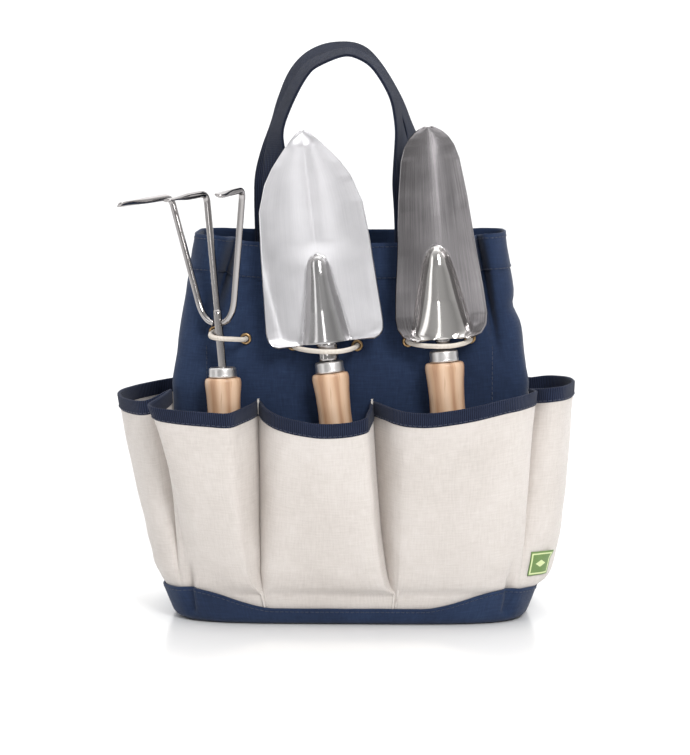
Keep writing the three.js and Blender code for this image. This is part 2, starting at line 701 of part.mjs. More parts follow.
function strapEnd(side, x) {
  const seat = strapSeat(side);
  const high = STRAP_FOLD_Z - STRAP_FOLD_GAP;
  const low = STRAP_FOLD_Z - STRAP_SEWN;
  return bentSheet(1, 1, (u, v, w) => {
    const z = mix(low, high, v);
    const drop = Math.max(0, BAG_TOP - z) * BODY_LEAN * side;
    return {
      x: x + (u - 0.5) * STRAP.width,
      y: seat + drop + (w - 0.5) * STRAP.thickness,
      z,
    };
  });
}

for (const [name, handle] of Object.entries(HANDLES)) {
  addTo(bag, `${name}_handle_strap`, strapArch(handle), webbing);
  handle.feet.forEach((x, i) => {
    addTo(bag, `${name}_strap_end_${['left', 'right'][i]}`, strapEnd(handle.side, x), webbing);
  });
}

export default bag;
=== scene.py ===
"""Garden tool bag: the fabric, steel and wood that show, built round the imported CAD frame."""
import json
import math

import bpy
import numpy as np
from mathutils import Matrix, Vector, noise


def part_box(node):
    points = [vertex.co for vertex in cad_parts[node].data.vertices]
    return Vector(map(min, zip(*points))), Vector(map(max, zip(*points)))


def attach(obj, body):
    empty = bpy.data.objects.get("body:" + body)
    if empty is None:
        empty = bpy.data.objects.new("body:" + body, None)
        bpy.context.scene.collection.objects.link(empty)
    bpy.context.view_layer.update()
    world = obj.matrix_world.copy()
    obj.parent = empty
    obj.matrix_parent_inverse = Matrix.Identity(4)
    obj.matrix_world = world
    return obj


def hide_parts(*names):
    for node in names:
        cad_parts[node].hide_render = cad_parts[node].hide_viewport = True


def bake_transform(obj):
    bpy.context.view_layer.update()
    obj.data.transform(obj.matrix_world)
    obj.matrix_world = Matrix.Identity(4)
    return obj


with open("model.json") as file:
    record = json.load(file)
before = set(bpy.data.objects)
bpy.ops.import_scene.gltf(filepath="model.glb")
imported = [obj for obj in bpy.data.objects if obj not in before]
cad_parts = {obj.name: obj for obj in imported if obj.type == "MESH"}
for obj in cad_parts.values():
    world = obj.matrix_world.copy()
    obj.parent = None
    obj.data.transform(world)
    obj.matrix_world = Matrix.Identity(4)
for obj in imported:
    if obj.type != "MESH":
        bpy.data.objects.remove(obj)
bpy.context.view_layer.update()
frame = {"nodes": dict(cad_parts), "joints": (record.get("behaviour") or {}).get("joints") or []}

MM = 0.001

# Sizes, in millimetres ---------------------------------------------------------------------

CANVAS = 1.6
POCKET_CLOTH = 1.3
HEM = 27                      # the folded hem at the bag's mouth
BINDING = {"height": 11.0, "thickness": 2.8, "corner": 1.1, "stitches": 1.6}
STITCH = {"length": 2.6, "gap": 1.1, "radius": 0.28}
STRAP = {"width": 25.0, "thickness": 2.2, "corner": 0.9}
CORD_RADIUS = 1.8
SLOPE = 0.05                  # how far the front and back lean inwards


def corners(node):
    """Lowest and highest corner of a CAD node, in millimetres."""
    low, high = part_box(node)
    return np.array(low) / MM, np.array(high) / MM


BOOT_HIGH = corners("base_boot")[1]
PANEL_LOW, PANEL_HIGH = corners("front_panel")
BAG_TOP = PANEL_HIGH[2]
PANEL_FOOT_Y = -PANEL_LOW[1]

# Small maths -------------------------------------------------------------------------------


def mix(a, b, t):
    return a + (b - a) * t


def clamp(t, low=0.0, high=1.0):
    return min(high, max(low, t))


def smooth(t):
    t = clamp(t)
    return t * t * (3 - 2 * t)


def bump(t):
    """1 at 0, falling smoothly to nothing by about 2."""
    return math.exp(-t * t * 1.5)


def unit(v):
    v = np.asarray(v, float)
    return v / max(np.linalg.norm(v), 1e-9)


def spline(points, t):
    """Point at share t of a Catmull-Rom curve through evenly counted points."""
    points = np.asarray(points, float)
    spans = len(points) - 1
    where = clamp(t) * spans
    i = min(int(where), spans - 1)
    s = where - i
    p0, p1, p2, p3 = (points[clamp(k, 0, spans)] for k in range(i - 1, i + 3))
    return 0.5 * (2 * p1 + (p2 - p0) * s + (2 * p0 - 5 * p1 + 4 * p2 - p3) * s * s
                  + (3 * p1 - p0 - 3 * p2 + p3) * s ** 3)


def between(stations, at):
    """Value at a position between (position, value) stations."""
    return float(np.interp(at, [s[0] for s in stations], [s[1] for s in stations]))


def totals(steps):
    """Running totals of steps, from 0."""
    return np.concatenate([[0], np.cumsum(steps)])


def running_length(points):
    """Distance along a line of points to each of them."""
    return totals(np.linalg.norm(np.diff(points, axis=0), axis=1))


def spots_at(distance, run, points):
    """Point at a distance along a line, or points at several. run is its running length."""
    return np.array([np.interp(distance, run, values) for values in np.transpose(points)]).T


def even_points(route, count):
    """That many points spaced evenly along a smooth curve through route."""
    dense = np.array([spline(route, k / 400) for k in range(401)])
    run = running_length(dense)
    return spots_at(np.linspace(0, run[-1], count), run, dense)


def even_shares(run, values, count):
    """That many of the values, at even steps of run and without the last."""
    return np.interp(np.linspace(0, run[-1], count + 1)[:-1], run, values)


def signed_power(value, power):
    return math.copysign(abs(value) ** power, value)


def ripple(point, size, seed=0.0):
    """Smooth noise from -1 to 1 that changes over about size millimetres."""
    return noise.noise(Vector((point[0] / size + seed, point[1] / size, point[2] / size)))


# Mesh helpers ------------------------------------------------------------------------------


def new_object(name, verts, faces, uvs=None):
    """A mesh object from points in millimetres. uvs holds one (u, v) in metres per vertex."""
    mesh = bpy.data.meshes.new(name)
    mesh.from_pydata([tuple(float(c) * MM for c in v) for v in verts], [], faces)
    mesh.validate()
    if uvs is not None:
        layer = mesh.uv_layers.new(name="weave")
        for loop in mesh.loops:
            layer.data[loop.index].uv = uvs[loop.vertex_index]
    for face in mesh.polygons:
        face.use_smooth = True
    obj = bpy.data.objects.new(name, mesh)
    bpy.context.collection.objects.link(obj)
    return obj


def grid(name, place, us, vs, wrap=False):
    """A sheet through place(u, v) for every u and v, with its weave coordinates."""
    points = np.array([[place(u, v) for u in us] for v in vs])
    rows, columns = len(vs), len(us)
    along, across = (
        totals(np.linalg.norm(np.diff(points, axis=axis), axis=2).mean(1 - axis)) * MM
        for axis in (0, 1))
    faces = []
    for j in range(rows - 1):
        for i in range(columns if wrap else columns - 1):
            k = (i + 1) % columns
            faces.append((j * columns + i, j * columns + k, (j + 1) * columns + k,
                          (j + 1) * columns + i))
    uvs = [(across[i], along[j]) for j in range(rows) for i in range(columns)]
    return new_object(name, points.reshape(-1, 3), faces, uvs)


def thicken(obj, thickness, offset=-1.0):
    """Gives a sheet its thickness, inwards from its outer face unless told otherwise."""
    solid = obj.modifiers.new("thickness", "SOLIDIFY")
    solid.thickness = thickness * MM
    solid.offset = offset
    solid.use_even_offset = False
    solid.use_rim = True
    return obj


def soften(obj, width):
    """Rounds the sharp edges."""
    bevel = obj.modifiers.new("edges", "BEVEL")
    bevel.width = width * MM
    bevel.segments = 2
    bevel.limit_method = "ANGLE"
    bevel.angle_limit = math.radians(50)


def skin(starts, count, capped=True):
    """Faces of a tube whose rings of count vertices begin at starts."""
    faces = []
    for a, b in zip(starts, starts[1:]):
        faces += [(a + k, a + (k + 1) % count, b + (k + 1) % count, b + k) for k in range(count)]
    if capped:
        first, last = starts[0], starts[-1]
        faces.append(tuple(reversed(range(first, first + count))))
        faces.append(tuple(range(last, last + count)))
    return faces


def sweep(name, centres, acrosses, normals, profile):
    """A closed profile of (across, normal) points carried along a path, with capped ends."""
    verts, uvs = [], []
    ring = len(profile)
    girth = running_length(profile) * MM
    run = running_length(centres) * MM
    for i, centre in enumerate(centres):
        for k, (a, b) in enumerate(profile):
            verts.append(centre + acrosses[i] * a + normals[i] * b)
            uvs.append((girth[k], run[i]))
    return new_object(name, verts, skin(range(0, len(verts), ring), ring), uvs)


def frames_along(centres, reference=(0, 0, 1)):
    """Steady across and normal directions along a path, turned as little as possible."""
    ways = np.gradient(centres, axis=0)
    across = unit(np.cross(ways[0], reference))
    acrosses, normals = [], []
    for way in ways:
        way = unit(way)
        across = unit(across - way * np.dot(across, way))
        acrosses.append(across)
        normals.append(np.cross(way, across))
    return np.array(acrosses), np.array(normals)


def circle(radius, sides):
    return [(radius * math.cos(2 * math.pi * k / sides), radius * math.sin(2 * math.pi * k / sides))
            for k in range(sides)]


def rounded_bar(width, thickness, corner):
    """Profile of a flat bar with rounded edges, across by normal."""
    points = []
    steps = 3
    for sx, sy, start in ((1, 1, 0), (-1, 1, 90), (-1, -1, 180), (1, -1, 270)):
        for k in range(steps + 1):
            angle = math.radians(start + 90 * k / steps)
            points.append((sx * (width / 2 - corner) + corner * math.cos(angle),
                           sy * (thickness / 2 - corner) + corner * math.sin(angle)))
    return points


def tube(name, route, radius, sides, count):
    centres = even_points(route, count)
    return sweep(name, centres, *frames_along(centres), circle(radius, sides))


def lathe(name, profile, origin, axis, segments=48):
    """Turns (radius, height) points about axis through origin. Ends on the axis are closed."""
    axis = unit(axis)
    side = unit(np.cross(axis, (0, 1, 0)))
    front = np.cross(axis, side)
    verts, uvs = [], []
    for (radius, height), run in zip(profile, running_length(profile) * MM):
        for k in range(segments):
            angle = 2 * math.pi * k / segments
            out = side * math.cos(angle) + front * math.sin(angle)
            verts.append(origin + axis * height + out * radius)
            uvs.append((k / segments * 0.08, run))
    closed = profile[0] == profile[-1]
    faces = skin(range(0, len(verts), segments), segments, not closed)
    if closed:
        whole = len(verts) - segments
        faces = [tuple(v % whole for v in face) for face in faces]
        verts, uvs = verts[:whole], uvs[:whole]
    return new_object(name, verts, faces, uvs)


def stitch_line(name, points, outs, length=STITCH["length"], gap=STITCH["gap"],
                radius=STITCH["radius"]):
    """A row of thread stitches lying on a surface: points along it and its outward normals."""
    points, outs = np.array(points, float), np.array(outs, float)
    run = running_length(points)
    verts, faces = [], []
    start = gap / 2
    arch = [(0.0, -0.6), (0.18, 0.35), (0.5, 0.6), (0.82, 0.35), (1.0, -0.6)]
    while start + length < run[-1]:
        rings = []
        for share, lift in arch:
            distance = start + length * share
            spot = spots_at(distance, run, points)
            out = unit(spots_at(distance, run, outs))
            way = unit(spots_at(distance + 0.2, run, points) - spot)
            side = np.cross(way, out)
            girth = radius * (0.75 if share in (0.0, 1.0) else 1.0)
            first = len(verts)
            for k in range(6):
                angle = math.pi * k / 3
                verts.append(spot + out * (radius * lift + girth * math.sin(angle))
                             + side * girth * math.cos(angle))
            rings.append(first)
        faces += skin(rings, 6)
        start += length + gap
    return new_object(name, verts, faces, [(0.0, 0.0)] * len(verts))


def sew(name, points, outs, slot="navy_canvas"):
    """A row of navy stitches on the bag."""
    finish_piece(stitch_line(name, points, outs), "bag", slot, NAVY_THREAD)


def finish_piece(obj, body, slot, material, *nodes):
    """Material, body and the CAD nodes that a piece stands for. slot is not used."""
    obj.data.materials.clear()
    obj.data.materials.append(material)
    if nodes:
        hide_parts(*nodes)
    if body:
        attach(obj, body)


# Materials ---------------------------------------------------------------------------------


class NodeTree:
    """A small builder for the nodes of a material or a world."""

    def __init__(self, owner):
        owner.use_nodes = True
        self.nodes = owner.node_tree.nodes
        self.links = owner.node_tree.links

    def node(self, kind, inputs=None, **settings):
        made = self.nodes.new(kind)
        for key, value in settings.items():
            setattr(made, key, value)
        for key, value in (inputs or {}).items():
            self.feed(made.inputs[key], value)
        return made

    def feed(self, socket, value):
        """Links a socket to another, or sets its value. A colour is a tuple of three."""
        if isinstance(value, bpy.types.NodeSocket):
            self.links.new(value, socket)
        elif socket.type == "RGBA":
            socket.default_value = (*value, 1)
        else:
            socket.default_value = value

    def maths(self, operation, a, b=0.0, c=None):
        inputs = {0: a, 1: b}
        if c is not None:
            inputs[2] = c
        return self.node("ShaderNodeMath", inputs, operation=operation).outputs[0]

    def place(self, scale=(1, 1, 1), source="UV"):
        if source == "UV":
            out = self.node("ShaderNodeUVMap", uv_map="weave").outputs[0]
        else:
            out = self.node("ShaderNodeTexCoord").outputs["Object"]
        return self.node("ShaderNodeMapping", {"Vector": out, "Scale": scale}).outputs[0]

    def noise(self, vector, scale, detail=3.0, rough=0.55):
        inputs = {"Vector": vector, "Scale": scale, "Detail": detail, "Roughness": rough}
        return self.node("ShaderNodeTexNoise", inputs).outputs["Fac"]

    def ramp(self, value, stops):
        made = self.node("ShaderNodeValToRGB", {"Fac": value})
        elements = made.color_ramp.elements
        for k, (position, color) in enumerate(stops):
            element = elements[k] if k < 2 else elements.new(position)
            element.position = position
            element.color = (*color, 1)
        return made.outputs[0]

    def blend(self, share, a, b, kind="MIX"):
        made = self.node("ShaderNodeMix", data_type="RGBA", blend_type=kind)
        for key, value in ((0, share), (6, a), (7, b)):
            self.feed(made.inputs[key], value)
        return made.outputs[2]

    def bump(self, height, distance, strength=1.0, under=None):
        inputs = {"Height": height, "Distance": distance, "Strength": strength}
        if under is not None:
            inputs["Normal"] = under
        return self.node("ShaderNodeBump", inputs).outputs[0]


class Shader(NodeTree):
    """A builder for one material round its main shader."""

    def __init__(self, name):
        self.material = bpy.data.materials.new(name)
        super().__init__(self.material)
        self.shader = self.nodes["Principled BSDF"]

    def set(self, **values):
        for key, value in values.items():
            self.feed(self.shader.inputs[key.replace("_", " ")], value)


WEAVE_PITCH = 0.75


def weave_height(s, pitch):
    """Plain weave: two sets of rounded threads, alternately on top."""
    per_metre = math.pi / (pitch * MM)
    parts = s.node("ShaderNodeSeparateXYZ", {"Vector": s.place()})
    u = s.maths("MULTIPLY", parts.outputs[0], per_metre)
    v = s.maths("MULTIPLY", parts.outputs[1], per_metre)
    warp = s.maths("ABSOLUTE", s.maths("SINE", u))
    weft = s.maths("ABSOLUTE", s.maths("SINE", v))
    over = s.maths("MULTIPLY", s.maths("COSINE", u), s.maths("COSINE", v))
    share = s.maths("MULTIPLY_ADD", over, 0.5, 0.5)
    first = s.maths("MULTIPLY", warp, share)
    second = s.maths("MULTIPLY", weft, s.maths("SUBTRACT", 1.0, share))
    return s.maths("ADD", first, second)


def canvas(name, deep, base, pale, relief, sheen):
    s = Shader(name)
    height = weave_height(s, WEAVE_PITCH)
    threads = s.noise(s.place((90, 900, 1)), 1.0, 2.0)
    other = s.noise(s.place((900, 90, 1)), 1.0, 2.0)
    streak = s.maths("MULTIPLY", s.maths("ADD", threads, other), 0.5)
    cloud = s.noise(s.place(source="Object"), 14.0, 4.0)
    tone = s.maths("ADD", s.maths("MULTIPLY", streak, 0.55), s.maths("MULTIPLY", cloud, 0.45))
    color = s.ramp(tone, [(0.3, deep), (0.52, base), (0.72, pale)])
    shade = s.maths("MULTIPLY_ADD", height, 0.35, 0.72)
    color = s.blend(1.0, color, s.node("ShaderNodeCombineColor", {0: shade, 1: shade, 2: shade})
                    .outputs[0], "MULTIPLY")
    slub = s.bump(s.noise(s.place((60, 500, 1)), 1.0, 3.0), 0.0004, 0.35)
    s.set(Base_Color=color, Normal=s.bump(height, relief * MM, 0.9, slub), Roughness=0.88,
          Sheen_Weight=sheen, Sheen_Roughness=0.45, Specular_IOR_Level=0.25)
    return s.material


def ribbed(name, deep, base, pale, rib, relief, cross, along=True):
    """Woven tape: ribs at a pitch of rib millimetres, with a finer crossing thread."""
    s = Shader(name)
    parts = s.node("ShaderNodeSeparateXYZ", {"Vector": s.place()})
    first, second = (parts.outputs[k] for k in ((1, 0) if along else (0, 1)))
    wobble = s.maths("MULTIPLY", s.noise(s.place(), 160.0, 2.0), 0.5)
    ribs = s.maths("SINE", s.maths("ADD", s.maths("MULTIPLY", first, 2 * math.pi / (rib * MM)),
                                   wobble))
    fine = s.maths("SINE", s.maths("MULTIPLY", second, 2 * math.pi / (rib * 0.75 * MM)))
    crossing = s.maths("MULTIPLY", s.maths("MULTIPLY", fine, ribs), cross)
    height = s.maths("MULTIPLY_ADD", s.maths("ADD", ribs, crossing), 0.5, 0.5)
    cloud = s.noise(s.place(source="Object"), 40.0, 3.0)
    tone = s.maths("ADD", s.maths("MULTIPLY", height, 0.6), s.maths("MULTIPLY", cloud, 0.4))
    color = s.ramp(tone, [(0.15, deep), (0.5, base), (0.85, pale)])
    s.set(Base_Color=color, Normal=s.bump(height, relief * MM, 1.0), Roughness=0.88,
          Sheen_Weight=0.06, Sheen_Roughness=0.5, Specular_IOR_Level=0.2)
    return s.material


def shaded(color, share):
    return tuple(c * share for c in color)


def speckled(name, scale, detail, stops, relief, strength, **values):
    """A plain material whose colour and fine relief follow one noise. relief is in metres."""
    s = Shader(name)
    grit = s.noise(s.place(source="Object"), scale, detail)
    s.set(Base_Color=s.ramp(grit, stops), Normal=s.bump(grit, relief, strength), **values)
    return s.material


def thread(name, color):
    return speckled(name, 900.0, 2.0, [(0.3, shaded(color, 0.75)), (0.7, color)], 0.00008, 0.8,
                    Roughness=0.7, Sheen_Weight=0.3)


def steel(name, color, rough, streak, relief, anisotropy=0.5, brushed_along=1, socket=None,
          cloud=(22.0, 0.86)):
    """Steel with fine brushing along v, smudges (on the grey steel also painted reflection) and
    roughness that varies with both.

    socket, where given, is the (color, rough) of the part that a blade's "socket" layer marks; that
    colour is a painted reflection.
    cloud is the scale of the smudges and how dark they go; the grey steel's big, deep ones are
    painted reflection.
    """
    s = Shader(name)
    scale = (1800, 14, 1) if brushed_along else (14, 1800, 1)
    lines = s.noise(s.place(scale), 1.0, 4.0, 0.7)
    # Slight smudges, and on the grey steel painted reflection: large dark patches.
    smudge_and_reflection = s.noise(s.place(source="Object"), cloud[0], 4.0, 0.6)
    tone = s.maths("ADD", s.maths("MULTIPLY", lines, 0.4), s.maths("MULTIPLY", smudge_and_reflection, 0.6))
    shade = s.ramp(tone, [(0.36, shaded(color, cloud[1])), (0.62, color)])
    roughness = s.node("ShaderNodeMapRange", {"Value": tone, 1: 0.3, 2: 0.7, 3: rough * 0.8,
                                              4: rough * 1.25}).outputs[0]
    # Painted reflection: the socket gets its own colour. Its lower roughness is real polish.
    if socket:
        part = s.node("ShaderNodeAttribute", attribute_name="socket").outputs["Fac"]
        shade = s.blend(part, shade, socket[0])
        roughness = s.node("ShaderNodeMix", {0: part, 2: roughness, 3: socket[1]}).outputs[0]
    s.set(Base_Color=shade, Metallic=1.0, Roughness=roughness, Anisotropic=anisotropy,
          Normal=s.bump(lines, relief * MM, streak))
    return s.material


def wood(name):
    """Pale turned hardwood: long grain, fine pores and a satin varnish."""
    s = Shader(name)
    grain = s.noise(s.place((150, 5, 1)), 1.0, 5.0, 0.6)
    rings = s.node("ShaderNodeTexWave", {"Vector": s.place((1, 0.14, 1)), "Scale": 26.0,
                                         "Distortion": 6.0, "Detail": 2.0,
                                         "Detail Scale": 1.5}).outputs["Fac"]
    pores = s.noise(s.place((900, 40, 1)), 1.0, 2.0, 0.7)
    tone = s.maths("ADD", s.maths("MULTIPLY", grain, 0.65), s.maths("MULTIPLY", rings, 0.35))
    color = s.ramp(tone, [(0.30, (0.43, 0.24, 0.135)), (0.5, (0.60, 0.39, 0.25)),
                          (0.72, (0.70, 0.50, 0.35))])
    fleck = s.ramp(pores, [(0.32, (0.72, 0.62, 0.55)), (0.42, (1.0, 1.0, 1.0))])
    color = s.blend(0.7, color, fleck, "MULTIPLY")
    s.set(Base_Color=color, Roughness=0.42, Coat_Weight=0.25, Coat_Roughness=0.25,
          Normal=s.bump(pores, 0.00012, 0.5))
    return s.material


NAVY = canvas("navy_canvas", (0.009, 0.018, 0.046), (0.017, 0.033, 0.080), (0.030, 0.055, 0.118),
              relief=0.14, sheen=0.12)
CREAM = canvas("cream_canvas", (0.58, 0.53, 0.49), (0.69, 0.64, 0.60), (0.77, 0.725, 0.69),
               relief=0.10, sheen=0.25)
TAPE = ribbed("binding_tape", (0.004, 0.006, 0.015), (0.010, 0.015, 0.037), (0.022, 0.032, 0.068),
              1.5, 0.30, cross=0.25)
WEBBING = ribbed("webbing", (0.003, 0.004, 0.010), (0.007, 0.011, 0.027), (0.019, 0.028, 0.060),
                 1.7, 0.35, cross=0.8, along=False)
ELASTIC = ribbed("elastic_cord", (0.60, 0.52, 0.44), (0.78, 0.71, 0.63), (0.88, 0.83, 0.76), 0.9,
                 0.16, cross=0.9)
NAVY_THREAD = thread("navy_thread", (0.016, 0.027, 0.065))
CREAM_THREAD = thread("cream_thread", (0.83, 0.79, 0.74))
# Socket colours are painted reflection: darker than the satin blade, lighter than the grey one.
SATIN = steel("satin_steel", (0.75, 0.74, 0.76), 0.34, 0.12, 0.006,
              socket=((0.50, 0.49, 0.49), 0.16))
# The grey steel's large, deep cloud paints reflection onto the transplanter's blade.
GREY_STEEL = steel("grey_steel", (0.40, 0.38, 0.39), 0.22, 0.25, 0.012,
                   socket=((0.62, 0.60, 0.58), 0.13), cloud=(9.0, 0.30))
SPUN = steel("spun_steel", (0.70, 0.68, 0.67), 0.30, 0.25, 0.012, brushed_along=0)
POLISHED = steel("polished_steel", (0.43, 0.41, 0.405), 0.11, 0.10, 0.006, 0.2)
BRONZE = speckled("bronze", 500.0, 3.0, [(0.35, (0.312, 0.204, 0.102)), (0.65, (0.52, 0.34, 0.17))],
                  0.00004, 0.5, Metallic=1.0, Roughness=0.32)
WOOD = wood("turned_wood")
BOARD = speckled("stiffener_board", 700.0, 3.0,
                 [(0.3, (0.035, 0.036, 0.04)), (0.7, (0.06, 0.062, 0.068))], 0.0001, 0.6,
                 Roughness=0.7)

# Stage, camera and light -------------------------------------------------------------------

CAMERA = {"azimuth": 1.5, "elevation": 7.0, "distance": 1.9, "lens": 123.2,
          "aim": (-0.0032, -0.0479, 0.1806)}


def aimed(name, data, place, aim):
    """A camera or light at a place, turned towards aim. Both are in metres."""
    obj = bpy.data.objects.new(name, data)
    obj.location = place
    obj.rotation_mode = "QUATERNION"
    obj.rotation_quaternion = (Vector(aim) - Vector(place)).to_track_quat("-Z", "Y")
    bpy.context.collection.objects.link(obj)
    return obj


def make_camera():
    azimuth = math.radians(CAMERA["azimuth"])
    elevation = math.radians(CAMERA["elevation"])
    back = Vector((math.sin(azimuth) * math.cos(elevation),
                   -math.cos(azimuth) * math.cos(elevation), math.sin(elevation)))
    data = bpy.data.cameras.new("camera")
    data.lens = CAMERA["lens"]
    place = Vector(CAMERA["aim"]) + back * CAMERA["distance"]
    bpy.context.scene.camera = aimed("camera", data, place, CAMERA["aim"])


def area_light(name, place, aim, size, power):
    data = bpy.data.lights.new(name, "AREA")
    data.shape = "RECTANGLE"
    data.size, data.size_y = size
    data.energy = power
    aimed(name, data, place, aim)


def make_stage():
    """A plain pale, slightly glossy floor."""
    reach = 30.0 / MM
    low = -0.3
    verts = [(-reach, -reach, low), (reach, -reach, low), (reach, reach, low), (-reach, reach, low)]
    floor = new_object("floor", verts, [(0, 1, 2, 3)])
    s = Shader("floor")
    haze = s.noise(s.place(source="Object"), 2.0, 2.0)
    s.set(Base_Color=s.ramp(haze, [(0.3, (0.83, 0.83, 0.83)), (0.7, (0.85, 0.85, 0.85))]),
          Roughness=0.16, Specular_IOR_Level=0.3)
    floor.data.materials.append(s.material)


def make_world():
    """A white room, brightest behind and above the object and dim at its sides."""
    world = bpy.data.worlds.new("studio")
    s = NodeTree(world)
    facing = s.node("ShaderNodeVectorMath",
                    {0: s.node("ShaderNodeTexCoord").outputs["Generated"], 1: (0, 0.8, 0.75)},
                    operation="DOT_PRODUCT").outputs["Value"]
    # in front, above that, at the sides, and behind and above
    stops = [(0.1, 0.42), (0.35, 0.26), (0.5, 0.44), (0.82, 1.0)]
    room = s.ramp(s.maths("MULTIPLY_ADD", facing, 0.5, 0.5),
                  [(position, (level, level, level)) for position, level in stops])
    background = s.nodes["Background"]
    s.feed(background.inputs[0], room)
    background.inputs[1].default_value = 1.3
    bpy.context.scene.world = world


make_camera()
make_stage()
make_world()
bpy.context.scene.view_settings.view_transform = "Standard"
area_light("key", (0.75, -1.8, 1.5), (0, 0, 0.18), (0.7, 0.7), 31)
area_light("fill", (-1.7, -1.2, 0.8), (0, 0, 0.2), (0.5, 1.2), 3)
area_light("front", (-0.3, -2.3, 0.45), (0, 0, 0.2), (0.35, 0.25), 1.6)
area_light("top", (0.1, 0.5, 2.6), (0, 0, 0.0), (3.0, 3.0), 26)

# Boot --------------------------------------------------------------------------------------

OBLONG = 4.5                  # power of the rounded oblong plan
FLARE = {"x": 0.4, "y": 0.14}                         # spread of the wall for each mm of height
BOOT_FOOT = {"x": BOOT_HIGH[0] - FLARE["x"] * BOOT_HIGH[2] + 1.6, "y": 70.0}
BOOT_EDGE = {"front": 12.0, "corner": 26.0, "side": 21.0, "rise": (55.0, 118.0), "turn": 8.0}
BOOT_ROUND = 5.0              # radius between floor and wall
BOOT_WALL = 1.8
CORNER_FOLD = {"x": 84.0, "slant": 0.55, "width": 4.6, "depth": 5.0}


def oblong_point(half_x, half_y, angle):
    return np.array([half_x * signed_power(math.cos(angle), 2 / OBLONG),
                     half_y * signed_power(math.sin(angle), 2 / OBLONG)])


def boot_half(z):
    return BOOT_FOOT["x"] + FLARE["x"] * z, BOOT_FOOT["y"] + FLARE["y"] * z


def boot_edge(x, y):
    """Height of the boot's upper edge: low along the front and back, high at the corners."""
    low, high = BOOT_EDGE["rise"]
    front = mix(BOOT_EDGE["front"], BOOT_EDGE["corner"], smooth((abs(x) - low) / (high - low)))
    side = mix(BOOT_EDGE["side"], BOOT_EDGE["corner"], clamp(abs(y) / BOOT_FOOT["y"]))
    return mix(front, side, smooth((abs(x) - high) / BOOT_EDGE["turn"]))


def corner_fold(x, y):
    """How far the cloth folds inwards at the four corners."""
    fold = CORNER_FOLD
    across = (abs(x) - fold["slant"] * abs(y) - fold["x"]) / fold["width"]
    return fold["depth"] * bump(across) * smooth((abs(y) - 30) / 20)


def even_angles(count):
    """Angles that space the oblong's outline evenly."""
    dense = np.linspace(0, 2 * math.pi, 4001)
    outline = [oblong_point(BOOT_FOOT["x"], BOOT_FOOT["y"], a) for a in dense]
    return even_shares(running_length(outline), dense, count)


def boot_point(angle, v):
    """v runs 0 at the floor's centre, 0.4 at its edge, 0.55 above the rounding, 1 at the top."""
    if v < 0.4:
        half_x, half_y = BOOT_FOOT["x"] - BOOT_ROUND, BOOT_FOOT["y"] - BOOT_ROUND
        x, y = oblong_point(half_x, half_y, angle) * (v / 0.4)
        return np.array([x, y, 0.0])
    if v < 0.55:
        turn = (v - 0.4) / 0.15 * math.pi / 2
        out = BOOT_ROUND * (math.sin(turn) - 1)
        z = BOOT_ROUND * (1 - math.cos(turn))
        half_x, half_y = boot_half(z)
        x, y = oblong_point(half_x + out, half_y + out, angle)
        return np.array([x, y, z])
    x, y = oblong_point(*boot_half(20), angle)
    z = mix(BOOT_ROUND, boot_edge(x, y), (v - 0.55) / 0.45)
    x, y = oblong_point(*boot_half(z), angle)
    fold = corner_fold(x, y) * smooth((z - 3) / 8)
    sag = 0.7 * ripple((x, y, z), 22, 3.0) + 0.4 * ripple((x, y, z), 9, 8.0)
    scale = 1 - (fold - sag) / math.hypot(x, y)
    return np.array([x * scale, y * scale, z])


angles = even_angles(260)
boot = grid("boot", boot_point, angles,
            [0.02, 0.1, 0.2, 0.3, 0.38] + list(np.linspace(0.4, 0.55, 6))
            + list(np.linspace(0.59, 1, 12)), wrap=True)
thicken(boot, BOOT_WALL)
finish_piece(boot, "bag", "navy_canvas", NAVY, "base_boot")


def boot_line(drop, proud):
    """A line round the boot, drop below its edge and proud of its wall, with its normals."""
    points, outs = [], []
    for angle in np.append(angles, angles[0]):
        point = boot_point(angle, 1.0)
        low = boot_point(angle, 0.9)
        share = drop / max(point[2] - low[2], 0.3)
        spot = point + (low - point) * share
        out = unit((spot[0] / BOOT_FOOT["x"] ** 2 * 60, spot[1] / BOOT_FOOT["y"] ** 2 * 60, 0))
        points.append(spot + out * proud)
        outs.append(out)
    return points, outs


sew("boot_stitches", *boot_line(2.2, 0.05))

# Pockets -----------------------------------------------------------------------------------

CLOTH_FOOT = 6.0
SPREAD_FROM = 25.0            # height above which the pockets stand off the boot's line
FOOT_INSET = 2.4

